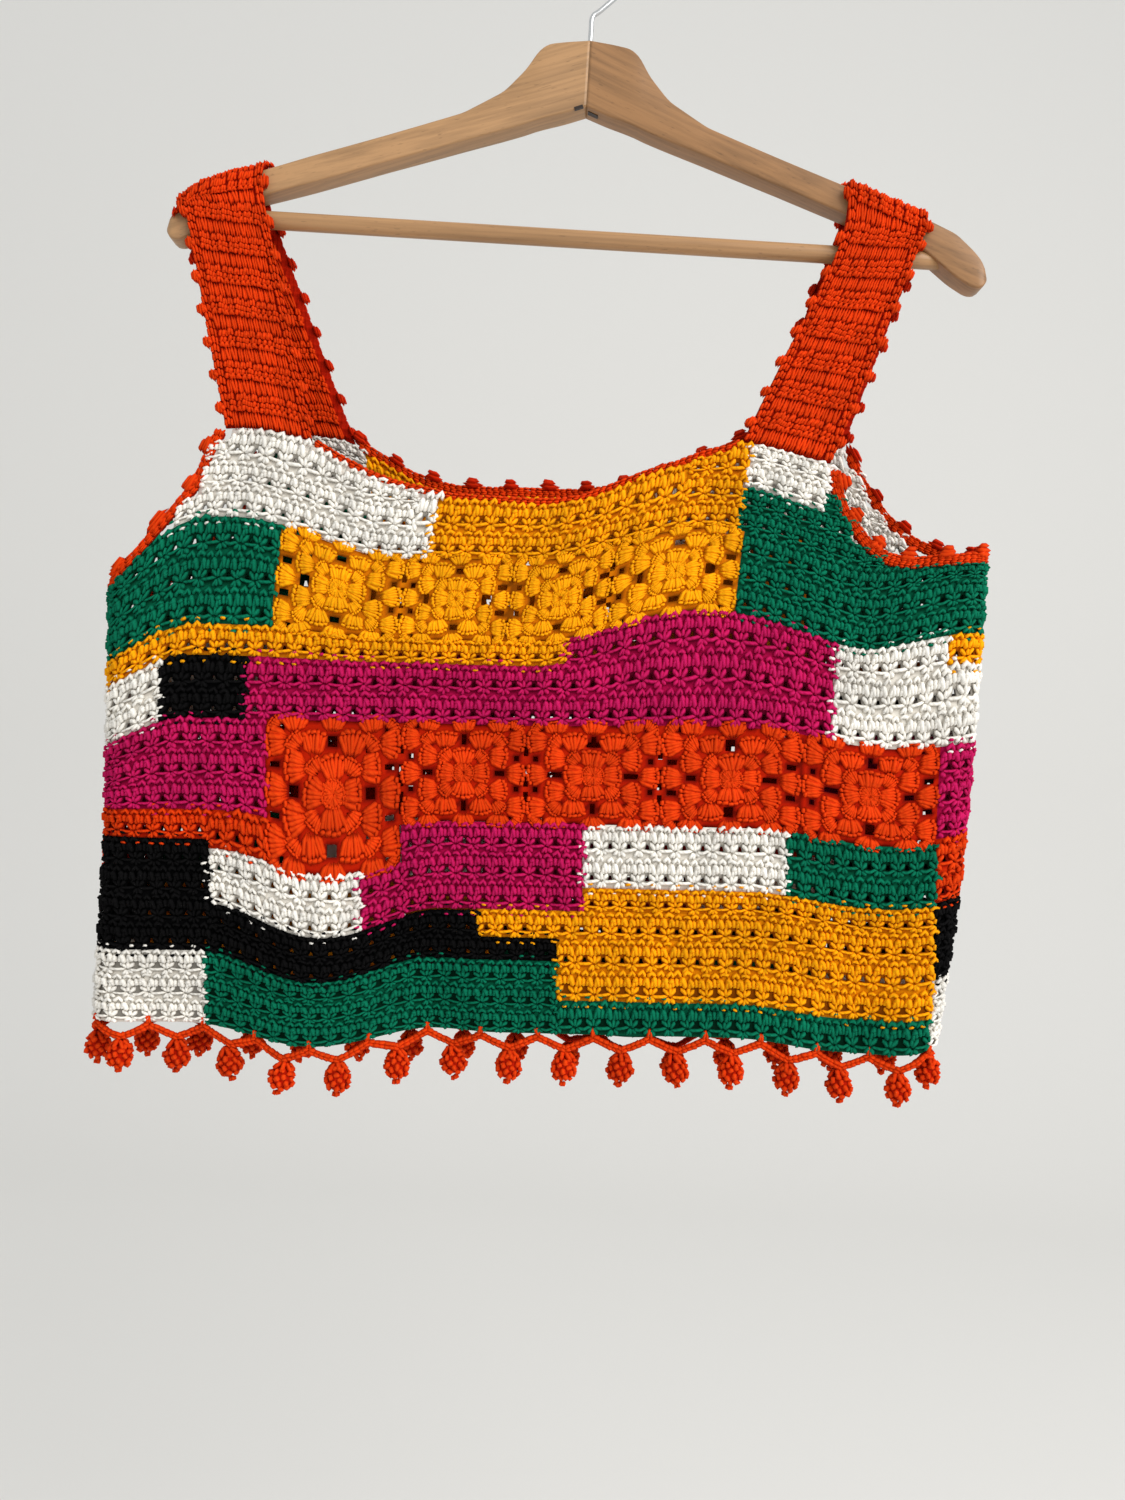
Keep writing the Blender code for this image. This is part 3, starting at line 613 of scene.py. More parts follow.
bodyStitch = (  # strands of one stitch, millimetres from the middle of its hole, then the strand's radius
    (((-4.9, -1.6, 1.2), (-2.5, -1.9, 2.1), (0, -2.15, 2.3), (2.5, -1.9, 2.1), (4.9, -1.6, 1.2)), 0.72),
    (((-5.2, -1.3, 1.0), (-3.2, 0.5, 1.8), (-0.9, 2.5, 1.0)), 1.2),
    (((5.2, -1.3, 1.0), (3.2, 0.5, 1.8), (1.0, 2.5, 1.0)), 1.2),
    (((5.2, -1.3, 1.1), (5.1, 0.7, 1.9), (5.3, 2.9, 0.9)), 1.0),
    (((-5.1, -2.0, 1.1), (-3.7, -3.0, 1.8), (-1.7, -4.3, 0.9)), 1.1),
    (((5.1, -2.0, 1.1), (3.6, -3.1, 1.8), (1.8, -4.5, 0.9)), 1.1),
    (((5.2, -2.1, 1.1), (5.2, -3.3, 1.8), (5.1, -5.2, 0.9)), 1.05),
    (((-4.8, 1.4, 1.0), (-3.9, 4.0, 1.9), (-3.1, 7.6, 1.0)), 1.4),
    (((-2.0, 2.2, 1.0), (-2.4, 4.4, 2.1), (-3.6, 7.6, 1.0)), 1.35),
    (((-0.9, 2.4, 1.0), (0.0, 4.2, 1.8), (-0.8, 7.2, 1.0)), 1.35),
    (((1.0, 2.3, 1.0), (1.7, 4.5, 1.9), (2.6, 7.6, 1.0)), 1.4),
    (((3.9, 1.5, 1.0), (3.4, 4.2, 2.1), (1.9, 7.4, 1.0)), 1.35),
    (((-1.8, 6.2, 0.9), (-1.7, 8.0, 1.9), (0.2, 9.0, 2.0), (1.6, 7.9, 1.9), (1.8, 5.9, 0.9)), 1.15),
    (((3.4, 6.4, 0.9), (3.7, 8.0, 1.9), (5.4, 9.0, 2.0), (6.9, 7.9, 1.9), (7.0, 6.1, 0.9)), 1.15),
    (((-4.9, 4.6, 1.6), (-3.2, 5.9, 2.5), (-1.4, 4.9, 1.5)), 1.1),
    (((0.5, 5.0, 1.6), (2.3, 6.0, 2.5), (4.2, 4.7, 1.5)), 1.1),
)


def bodyCells(first, block):
    # cells of one block on the panel that starts at the given column: (column, row, width, height, whole)
    colour, left, right, low, high = block
    count = max(1, round(right - left))
    width = (right - left) / count
    toEdge = high >= 21.9
    span = min(high, body["topRow"]) - low
    height = 1.0 if toEdge else span / max(1, round(span))
    cells = []
    for i in range(count):
        start = left + i * width
        edge = float(np.min(topEdge(first + np.linspace(start + 0.05, start + width - 0.05, 5))))
        middleEdge = float(topEdge(first + start + 0.5 * width))
        room = min(middleEdge, high) - low
        rows = max(0, int(math.floor(room / height + 0.45)))
        for j in range(rows):
            bottom = low + j * height
            top = bottom + height if j < rows - 1 or not toEdge else min(middleEdge, low + room)
            top = min(top, middleEdge)
            if top - bottom >= 0.3 * height:
                whole = edge > bottom + 0.6 * (top - bottom)
                cells.append((first + start, bottom, width, top - bottom, whole))
    return cells


def bodySpots(cells, flip=0.0):  # half a turn of flip shows the same stitches from inside the tube
    return [((column + 0.5 * width) * columnWidth, (row + body["holeHeight"] * height) * rowHeight, 0.0, flip,
             width, height, 1.0) for column, row, width, height, whole in cells]


def pierced(name, panels, colourNames):
    # the ground of the rows: one thin pierced shell for each block, with painted shade round each open hole and a
    # painted dark spot where a hole in the lowest rows is closed
    verts, shadeLevels, faces, colours = [], [], [], []
    for block, cells in panels:
        index = {}

        # a corner's depth is its painted shade level, not a place in space
        def corner(column, row, depth):
            key = (round(column * 200), round(row * 200))
            if key not in index:
                index[key] = len(verts)
                verts.append((column, min(row, float(topEdge(column)))))
                shadeLevels.append(depth)
            return index[key]

        for column, row, width, height, whole in cells:
            isOpen = row > body["closedBelow"]
            rimShade = body["rimShade"] if isOpen else body["closedShade"]
            grid = {}
            for a, p in enumerate(body["columnLines"]):
                for b, q in enumerate(body["rowLines"]):
                    pull = body["drawnIn"] * (1 if a == 1 else -1) if b == 2 and a in (1, 2) and whole else 0.0
                    rim = whole and a in (1, 2) and b in (1, 2)
                    grid[a, b] = corner(column + (p + pull) * width, row + q * height,
                                        rimShade if rim else body["groundShade"])
            for a in range(3):
                for b in range(4):
                    face = (grid[a, b], grid[a + 1, b], grid[a + 1, b + 1], grid[a, b + 1])
                    hole = whole and (a, b) == (1, 1) and isOpen
                    if not hole and len(set(face)) == 4:
                        faces.append(face)
                        colours.append(colourNames.index(block[0]))
    return clothWall(name, np.array(verts), faces, [yarn[colour] for colour in colourNames], shadeLevels,
                     body["thickness"], colours)


bodyMotifs = motifs("body stitch", bodyStitch, 5)
panelFirst = {"front": 0.0, "back": float(cloth["columns"])}
bodyPieces = {}
for side, first in panelFirst.items():
    panels = [(block, bodyCells(first, block)) for block in body["blocks"]]
    bodyPieces[side] = [pierced(side + "_body_cloth", panels, list(yarns))]
    for k, colour in enumerate(yarns):
        cells = [cell for block, found in panels if block[0] == colour for cell in found]
        spots = bodySpots(cells)
        if side == "back":
            spots += bodySpots([cell for cell in cells if cell[1] > body["insideAbove"]], math.pi)
        bodyPieces[side].append(stitch(
            f"{side}_{colour}_stitches", spots, bodyMotifs, wholeCloth, yarn[colour], seed=20 + k,
            turnSpread=body["turnSpread"], sizeSpread=body["sizeSpread"]))
    print(side, "body:", sum(len(found) for block, found in panels), "stitches")

# dashes where one colour is sewn to the next, over and under level edges, and threads across upright ones
seam = {"pitch": 0.66, "above": 0.17, "below": -0.20, "side": 0.33, "across": 0.12, "share": 0.6, "seed": 71,
        "threads": ("white", "yellow", "magenta")}
dash = ((((-1.7, 0, 0.9), (-0.2, 0.1, 2.2), (1.7, 0, 0.9)), 0.75),)
thread = ((((-2.6, 0, 0.9), (-0.6, 0.1, 2.2), (2.4, 0, 0.9)), 0.7),)


def colourAt(column, row):
    for colour, left, right, low, high in body["blocks"]:
        if left <= column < right and low <= row < high:
            return colour
    return None


def seamSpots(first):
    dashes, threads = ({colour: [] for colour in yarns} for kind in range(2))
    chance = np.random.default_rng(seam["seed"])
    for colour, left, right, low, high in body["blocks"]:
        for column in np.arange(left + 0.4, right - 0.1, seam["pitch"]):
            other = colourAt(column, low - 0.1)
            if low > 0 and other not in (None, colour) and low < float(topEdge(first + column)) - 0.3:
                shift = chance.uniform(-0.1, 0.1)
                for mine, offset in ((other, seam["above"]), (colour, seam["below"])):
                    if mine == "black" or chance.random() < seam["share"]:
                        dashes[mine].append(((first + column + shift) * columnWidth, (low + offset) * rowHeight,
                                             chance.normal(0.0, 0.12), 0.0, 1.0, 1.0, 1.0))
        for row in np.arange(low + 0.2, high - 0.05, seam["side"]):
            other = colourAt(left - 0.1, row)
            if left > 0 and other not in (None, colour) and row < float(topEdge(first + left)) - 0.2:
                for mine, offset in ((other, seam["across"]), (colour, -seam["across"])):
                    if mine in seam["threads"] and chance.random() < seam["share"]:
                        threads[mine].append(((first + left + offset + chance.normal(0.0, 0.05)) * columnWidth,
                                              row * rowHeight, chance.normal(0.0, 0.15), 0.0, 1.0, 1.0, 1.0))
    return dashes, threads


dashMotifs = motifs("dash", dash, 31)
threadMotifs = motifs("thread", thread, 37)
for side, first in panelFirst.items():
    dashes, threads = seamSpots(first)
    for k, colour in enumerate(yarns):
        for label, spots, shapes in (("dashes", dashes[colour], dashMotifs),
                                     ("threads", threads[colour], threadMotifs)):
            if spots:
                bodyPieces[side].append(stitch(f"{side}_{colour}_{label}", spots, shapes, wholeCloth, yarn[colour],
                                               seed=50 + k))
print("seams dashed")

# square motifs: puffs of fanned strands on a lattice, with open places between them
squares = {  # joints are the columns between one square and the next
    "yellow": {"low": 14.5, "high": 17.55, "joints": (12.8, 19.4, 25.0, 30.2, 36.8), "firstLow": 14.5},
    "orange": {"low": 7.8, "high": 11.4, "joints": (12.8, 19.9, 26.4, 33.4, 40.8, 48.0), "firstLow": 6.5},
    "step": 0.25, "thickness": 1.3, "halfWide": 3.55, "halfHigh": 2.95, "puffLength": 8.9,
    "sideSize": 1.1, "cornerSize": 0.78, "centreSize": 0.66, "centreNudge": 3.0, "holeGrowth": 1.12,
    "turnSpread": 0.06, "sizeSpread": 0.05,
}
puff = tuple(  # strands fanned over a low dome with loops along its far side, millimetres from its middle
    [(((0.5 * k, -5.3, 0.5), (1.0 * k, -2.2, 2.3 - 0.06 * k * k), (1.5 * k, 1.6 - 0.05 * k * k, 2.7 - 0.10 * k * k),
       (1.8 * k, 4.9 - 0.26 * k * k, 0.8)), 1.12) for k in (-3.0, -2.0, -1.0, 0.0, 1.0, 2.0, 3.0)]
    + [(((2.0 * k - 1.2, 3.0 - 0.22 * k * k, 1.4), (2.1 * k, 4.6 - 0.28 * k * k, 2.5 - 0.12 * k * k),
         (2.0 * k + 1.2, 3.0 - 0.22 * k * k, 1.6)), 0.95) for k in (-2.0, -1.0, 0.0, 1.0, 2.0)])


def latticeSites():
    # puffs at odd sites and open places, with their half sizes, at even ones
    puffs, holes = [], []
    for i in range(-3, 4):
        for j in range(-3, 4):
            far, near = max(abs(i), abs(j)), min(abs(i), abs(j))
            if (i + j) % 2 or far == 0:
                puffs.append((i, j))
            elif far == near:
                puffs.append((i, j))
                holes.append((i * 0.9, j * 0.9, 0.16, 0.16))
            elif far == 2:
                holes.append((i, j, 0.30, 0.28))
            elif abs(i) == 3:
                holes.append((i, j, 0.22, 0.22))
            else:
                holes.append((i, j, 0.25, 0.12))
    return puffs, holes


def stripParts(colour):  # (left, right, low, high) of each square of a strip, in columns and rows
    row = squares[colour]
    lows = [row["firstLow"]] + [row["low"]] * len(row["joints"])
    return [(left, right, low, row["high"]) for left, right, low in zip(row["joints"], row["joints"][1:], lows)]


def puffTurns(i, j):
    if (i, j) == (0, 0):
        return [(k * math.pi / 4.0, squares["centreSize"]) for k in range(8)]
    if abs(i) == abs(j):
        return [(math.atan2(-i, j), squares["cornerSize"])]
    if abs(i) > abs(j):
        return [(-math.pi / 2.0 if i > 0 else math.pi / 2.0, squares["sideSize"])]
    return [(0.0 if j > 0 else math.pi, squares["sideSize"])]


def squareWork(first, colour, seed):
    # spots for the puffs, and the open places as ellipses (column, row, half sizes)
    chance = np.random.default_rng(seed)
    spots, gaps = [], []
    for left, right, low, high in stripParts(colour):
        centre, middle = 0.5 * (left + right), 0.5 * (low + high)
        stepX, stepY = (right - left) / (2 * squares["halfWide"]), (high - low) / (2 * squares["halfHigh"])
        wide, tall = stepX * cloth["column"] / squares["puffLength"], stepY * cloth["row"] / squares["puffLength"]
        puffs, holes = latticeSites()
        for i, j in puffs:
            turns = puffTurns(i, j)
            nudge = squares["centreNudge"] * mm if len(turns) > 1 else 0.0
            for turn, size in turns:
                across, along = (tall, wide) if abs(math.sin(turn)) > 0.7 else (wide, tall)
                if abs(j) == 3:
                    along *= 0.72
                x = (first + centre + i * stepX) * columnWidth - math.sin(turn) * nudge
                y = (middle + j * stepY * (0.955 if abs(j) == 3 else 1.0)) * rowHeight + math.cos(turn) * nudge
                spots.append((x, y, turn + chance.normal(0.0, 0.09), 0.0, across * size, along * size,
                              0.7 * size ** 0.5))
        for i, j, halfX, halfY in holes:
            gaps.append((centre + i * stepX, middle + j * stepY, halfX * stepX * squares["holeGrowth"],
                         halfY * stepY * squares["holeGrowth"]))
        if left > squares[colour]["joints"][0]:
            gaps += [(left, middle + k * 0.3 * (high - low), 0.10, 0.12 * (high - low)) for k in (-1, 0, 1)]
    return spots, gaps


def squareGround(name, first, colour, gaps):
    # the strip's thin ground, a fine net with its faces left out where the work is open, with painted shade round the
    # open places
    parts, step = stripParts(colour), squares["step"]
    left, right, low, high = parts[0][0], parts[-1][1], parts[0][2], parts[0][3]
    columns = np.linspace(left, right, int(round((right - left) / step)) + 1)
    rows = np.linspace(low, high, int(round((high - low) / step * 1.35)) + 1)
    index, verts, faces, shadeLevels = {}, [], [], []

    def openness(column, row):
        return min((((column - x) / a) ** 2 + ((row - y) / b) ** 2) for x, y, a, b in gaps)

    for i in range(len(columns) - 1):
        for j in range(len(rows) - 1):
            c, r = 0.5 * (columns[i] + columns[i + 1]), 0.5 * (rows[j] + rows[j + 1])
            inside = any(west <= c <= east and south <= r <= north for west, east, south, north in parts)
            if not inside or openness(c, r) < 0.75:
                continue
            face = ((i, j), (i + 1, j), (i + 1, j + 1), (i, j + 1))
            for a, b in face:
                if (a, b) not in index:
                    index[a, b] = len(verts)
                    verts.append((first + columns[a], rows[b]))
                    # points near an open place get a low level for painted shade, the others a lighter one
                    shadeLevels.append(-0.5 if openness(columns[a], rows[b]) < 1.7 else 0.1)
            faces.append(tuple(index[spot] for spot in face))
    return clothWall(name, np.array(verts), faces, [yarn[colour]], shadeLevels, squares["thickness"])


puffMotifs = motifs("puff", puff, 61)
squarePieces = {}
for side, first in panelFirst.items():
    for k, colour in enumerate(("yellow", "orange")):
        spots, gaps = squareWork(first, colour, 80 + k)
        ground = squareGround(f"{side}_{colour}_squares", first, colour, gaps)
        work = stitch(f"{side}_{colour}_puffs", spots, puffMotifs, wholeCloth, yarn[colour], seed=90 + k,
                      turnSpread=squares["turnSpread"], sizeSpread=squares["sizeSpread"])
        squarePieces[side, colour] = [ground, work]
print("square motifs made")

hanger = {  # distance from the middle, top and bottom edge
    "outline": ((0.15, -64, -101), (12, -65.5, -105.5), (23, -67.5, -109), (28.5, -72, -111), (34, -82, -113.5),
                (46, -96, -118), (68, -110, -126), (110, -127, -142), (150, -143, -158), (178, -155, -168.5),
                (192, -160, -178), (206, -167, -190), (216, -176.5, -196.5), (223.5, -186, -196.5)),
    # how far from the middle, depth and height, then length, width and height, of each dark finger joint
    "slots": {"left_arm": (4.2, -6.4, -102.1, 5.0, 1.6, 1.6), "right_arm": (4.0, -1.0, -102.4, 6.0, 3.4, 0.9)},
    "slotSlope": (-4.5, 11.85), "thickness": 14.0, "rounding": 1.3, "sweep": 18.0, "halfSpan": 224.0,
    "sweepPower": 1.6, "tipStart": 219.0, "tipReach": 4.7,
    "barRadius": 4.75, "barHalf": 203.0, "barY": -15.3, "barZ": -179.5,
    "wire": 1.4, "hookInside": 19.0, "stemTop": -47.0, "stemFoot": -81.0, "stemInHead": -66.0,
}
armTable = np.array(hanger["outline"], float)
strap = {  # a tall row and a close row by turns, with a picot to each pair on both edges
    # column on the front joint, on the back joint, place along the hanger's arm, for both edges
    "left": ((8.8, 13.3), (89.4, 84.8), (-217.0, -174.0)), "right": ((40.4, 35.8), (58.1, 62.7), (189.0, 147.0)),
    "gap": 0.6, "thickness": 1.4, "pair": 19.0, "columns": 12, "edge": 5.0, "edgeCord": 2.2, "lines": 9, "spare": 3,
    "overArm": ((-9.1, -15), (-9, -8), (-8.9, -2), (-7.2, 1.6), (-3.6, 3), (0, 3.2), (3.6, 3), (7.2, 1.6), (8.9, -2),
                (9, -8), (9.1, -15)),
    "picotSize": (1.6, 0.85, 1.2),
    # the bare side: way, step and wander of its rows and posts, the height of their bump, and how dark the painted
    # shade in their grooves gets
    "ribs": {"waves": (("Z", 4.6, 1.2), ("X", 2.6, 2.0)), "height": 0.8, "darkest": 0.78},
}
post = (  # one column of a row pair, millimetres from the foot of its tall stitch
    (((-0.8, -1.4, 1.4), (-0.7, 3.0, 1.6), (-0.8, 6.3, 1.6), (-0.5, 10.6, 1.5)), 0.98),
    (((0.6, -1.6, 1.3), (0.7, 3.2, 1.5), (0.6, 6.3, 1.4), (0.8, 10.6, 1.4)), 0.88),
    (((-1.3, 8.6, 1.4), (-0.6, 10.9, 2.0), (0.9, 12.6, 1.5)), 1.05),
    (((1.4, 8.8, 1.4), (0.9, 10.4, 1.8), (-0.4, 12.8, 1.4)), 0.95),
    (((-1.1, 11.8, 1.4), (-0.2, 13.9, 1.9), (0.9, 16.2, 1.4)), 1.05),
    (((0.5, 11.6, 1.4), (1.3, 13.4, 1.7), (1.8, 15.8, 1.4)), 0.9),
    (((-1.2, 15.2, 1.4), (-0.1, 17.2, 1.9), (0.4, 20.2, 1.4)), 1.05),
    (((0.7, 15.4, 1.4), (1.5, 17.2, 1.8), (1.2, 20.2, 1.4)), 0.9),
)
edgeLoop = (  # along a strap's edge
    (((-1.3, 0.0, 0.8), (-1.7, 2.6, 1.7), (-1.0, 5.2, 0.9)), 0.95),
    (((0.2, 1.2, 0.8), (0.5, 3.6, 1.8), (0.2, 6.2, 0.9)), 0.9),
    (((1.7, 0.2, 0.8), (1.9, 2.8, 1.5), (1.6, 5.4, 0.9)), 0.85),
)
picot = (  # a small round knob standing out from an edge
    (((-2.3, 0.4, 0.2), (0.0, 0.5, 1.9), (2.3, 0.4, 0.2)), 1.25),
    (((-2.3, 2.0, 0.1), (0.0, 2.2, 2.1), (2.3, 2.0, 0.1)), 1.3),
    (((-1.7, 3.5, 0.0), (0.0, 3.8, 1.3), (1.7, 3.5, 0.0)), 1.15),
    (((-1.9, 1.0, -0.6), (0.0, 1.4, -1.7), (1.9, 1.0, -0.6)), 1.2),
    (((-1.8, 2.7, -0.5), (0.0, 3.0, -1.5), (1.8, 2.7, -0.5)), 1.2),
    (((-0.4, -2.2, 0.6), (-0.3, -0.4, 2.0), (0.0, 1.4, 1.2)), 1.1),
)


def armTop(x):
    return np.interp(abs(x), armTable[:, 0], armTable[:, 1])


def armY(x):
    return -hanger["sweep"] * (abs(x) / hanger["halfSpan"]) ** hanger["sweepPower"]


def smoothPath(stations, steps):
    padded = np.vstack([2 * stations[0] - stations[1], stations, 2 * stations[-1] - stations[-2]])
    path = []
    for k, count in enumerate(steps):
        a, b, c, d = padded[k:k + 4]
        for t in np.arange(count) / count:
            path.append(0.5 * (2 * b + (c - a) * t + (2 * a - 5 * b + 4 * c - d) * t ** 2
                               + (3 * b - a - 3 * c + d) * t ** 3))
    return np.array(path + [stations[-1]])


def strapSurface(name):
    # points of the middle surface in lines across it, with spare straight lines beyond both edges
    frontJoint, backJoint, onArm = strap[name]
    lines = []
    for share in np.linspace(0.0, 1.0, strap["lines"]):
        front, back, x = (ends[0] + share * (ends[1] - ends[0]) for ends in (frontJoint, backJoint, onArm))
        clear = math.hypot(1.0, (armTop(abs(x) + 7.0) - armTop(abs(x) - 7.0)) / 14.0)
        over = [np.array([x, armY(x) + depth, armTop(x) + height * clear ** np.sign(height)])
                for depth, height in strap["overArm"]]
        foot, heel = (placeCloth(column, topEdge(column) + strap["gap"] / cloth["row"]) / mm
                      for column in (front, back))
        barFront = hanger["barY"] - hanger["barRadius"] - 2.0
        atBar = np.array([x + 0.10 * (foot[0] - x), min(armY(x) - 9.1, barFront), hanger["barZ"]])
        stations = np.array([foot, 0.2 * atBar + 0.8 * foot, 0.5 * (atBar + foot), atBar] + over[1:]
                            + [0.5 * (over[-1] + heel), 0.2 * over[-1] + 0.8 * heel, heel])
        line = smoothPath(stations, [4, 8, 8, 4] + [3] * (len(over) - 2) + [12, 8, 4])
        lines.append(np.vstack([8 * line[0] - 7 * line[1], line, 8 * line[-1] - 7 * line[-2]]))
    first, last = lines[0] - lines[1], lines[-1] - lines[-2]
    before = [lines[0] + k * first for k in range(strap["spare"], 0, -1)]
    return np.array(before + lines + [lines[-1] + k * last for k in range(1, strap["spare"] + 1)])


def strapGuide(name):
    # the plan runs across the strap, and along it from the front joint
    points = strapSurface(name)
    out = unit(np.cross(np.gradient(points, axis=1), np.gradient(points, axis=0)))
    if out[len(out) // 2, 6, 1] > 0.0:
        out = -out
    steps = np.linalg.norm(np.diff(points, axis=1), axis=-1).mean(axis=0)
    length = np.concatenate([[0.0], np.cumsum(steps)]) - steps[0]
    spare = strap["spare"]
    width = np.linalg.norm(np.diff(points[spare:-spare], axis=0), axis=-1).sum(axis=0).mean()
    reach = np.arange(-spare, strap["lines"] + spare) * width / (strap["lines"] - 1)
    if name == "right":  # its first line is on the right
        reach = width - reach
    plan = np.stack(np.meshgrid(reach, length, indexing="ij") + [np.zeros(points.shape[:2])], axis=-1)
    return guideSurface(name + " strap guide", points * mm, plan * mm, out), points * mm, out, width, length[-2]


def strapSpots(width, length):
    pitch = (width - 2.0 * strap["edge"]) / strap["columns"]
    pairs = int(round(length / strap["pair"]))
    tall = length / pairs
    posts, edges, knobs = [], [], []
    for row in range(pairs):
        for column in range(strap["columns"]):
            posts.append(((strap["edge"] + (column + 0.5) * pitch) * mm, row * tall * mm, 0.0, 0.0, pitch / 3.0,
                          tall / strap["pair"], 1.0))
        for x, turn in ((0.3, math.pi / 2), (width - 0.3, -math.pi / 2)):
            knobs.append((x * mm, (row + 0.62) * tall * mm, turn, 0.0, *strap["picotSize"]))
        for part in range(4):
            for x in (strap["edgeCord"], width - strap["edgeCord"]):
                edges.append((x * mm, (row + 0.25 * part) * tall * mm, 0.0, 0.0, 1.0, 1.0, 1.0))
    inside = [(x, y + tall * mm, math.pi, math.pi, *size)
              for x, y, turn, flip, *size in posts if y > 0.45 * length * mm]
    return posts + inside, edges, knobs


def makeStrap(name):
    guide, middle, out, width, length = strapGuide(name)
    spare = strap["spare"]
    middle, out = middle[spare:-spare, 1:-1], out[spare:-spare, 1:-1]
    wide, high = middle.shape[:2]
    faces = [(i * high + j, (i + 1) * high + j, (i + 1) * high + j + 1, i * high + j + 1)
             for i in range(wide - 1) for j in range(high - 1)]
    normal = np.cross(middle[1, 0] - middle[0, 0], middle[0, 1] - middle[0, 0])
    if np.dot(normal, out[0, 0]) < 0:
        faces = [tuple(reversed(face)) for face in faces]
    # the bare cloth gets shade level nought, so it is painted in the colour of the gap shade
    pieces = [thinWall(f"{name}_strap_cloth", middle.reshape(-1, 3), out.reshape(-1, 3), faces, [ribbedYarn],
                       [0.0] * (wide * high), strap["thickness"])]
    strap[name + "Flat"] = (width * mm, length * mm)
    for (label, shapes, seed), spots in zip(strapWork, strapSpots(width, length)):
        pieces.append(stitch(f"{name}_strap_{label}", spots, shapes, guide, yarn["orange"], seed=seed,
                             turnSpread=0.04 if label == "stitches" else 0.05))
    return pieces


ribbedYarn = yarnMaterial("ribbed orange yarn", yarns["orange"], strap["ribs"])
strapWork = (("stitches", motifs("post", post, 101), 120), ("edges", motifs("edge loop", edgeLoop, 107), 130),
             ("picots", motifs("picot", picot, 113), 140))
strapPieces = {name: makeStrap(name) for name in ("left", "right")}
print("straps made")

edgings = {  # first and last column, width, whether it has picots, lift
    "neck_edging_front": (13.4, 35.7, 2.6, False, -0.9), "neck_edging_back": (62.8, 84.7, 4.4, True, 0.0),
    "armhole_edging_left": (-6.5, 8.8, 4.4, True, 0.0), "armhole_edging_right": (40.5, 58.0, 4.4, True, 0.0),
}
edging = {"pitch": 3.6, "picotPitch": 22.0, "picotSize": (1.7, 1.1, 1.25), "thickness": 1.5, "step": 0.5}
edgeKnot = (  # one stitch of an edging, its length along the edge
    (((-1.9, -1.6, 0.6), (-1.2, 0.6, 1.9), (-1.4, 2.6, 0.7)), 1.1),
    (((0.2, -2.2, 0.6), (0.4, 0.0, 2.1), (0.0, 2.2, 0.7)), 1.05),
    (((1.7, -1.4, 0.6), (2.0, 0.6, 1.8), (1.5, 2.5, 0.7)), 1.1),
)
bigPicot = (
    (((-3.2, 0.3, 0.2), (0.0, 0.4, 2.1), (3.2, 0.3, 0.2)), 1.4),
    (((-3.0, 2.1, 0.1), (0.0, 2.3, 2.3), (3.0, 2.1, 0.1)), 1.45),
    (((-2.1, 3.9, 0.0), (0.0, 4.4, 1.5), (2.1, 3.9, 0.0)), 1.3),
    (((-2.6, 1.0, -0.6), (0.0, 1.4, -1.9), (2.6, 1.0, -0.6)), 1.3),
    (((-2.2, 2.9, -0.5), (0.0, 3.3, -1.6), (2.2, 2.9, -0.5)), 1.3),
    (((-1.2, -2.0, 0.6), (-1.0, 0.0, 2.1), (-0.3, 2.4, 1.4)), 1.1),
    (((1.2, -2.0, 0.6), (1.0, 0.0, 2.1), (0.3, 2.4, 1.4)), 1.1),
)


def edgeLine(first, last):
    # points along the edge between two columns of the flat plan, softened at its corners, and the way out
    table = np.vstack([edgeTable - (2.0 * cloth["columns"], 0.0), edgeTable])
    inside = table[(table[:, 0] > first + 0.02) & (table[:, 0] < last - 0.02)]
    ends = [(first, float(topEdge(first))), (last, float(topEdge(last)))]
    line = np.vstack([ends[:1], inside, ends[1:]]) * (cloth["column"], cloth["row"])
    lengths = runLengths(line)
    place = np.arange(0.0, lengths[-1], edging["step"])
    fine = np.stack([np.interp(place, lengths, line[:, k]) for k in (0, 1)], axis=1)
    padded = np.vstack([np.repeat(fine[:1], 8, axis=0), fine, np.repeat(fine[-1:], 8, axis=0)])
    kernel = np.hanning(17) / np.hanning(17).sum()
    soft = np.stack([np.convolve(padded[:, k], kernel, mode="valid") for k in (0, 1)], axis=1)
    run = unit(np.gradient(soft, axis=0))
    return soft, np.stack([-run[:, 1], run[:, 0]], axis=1)


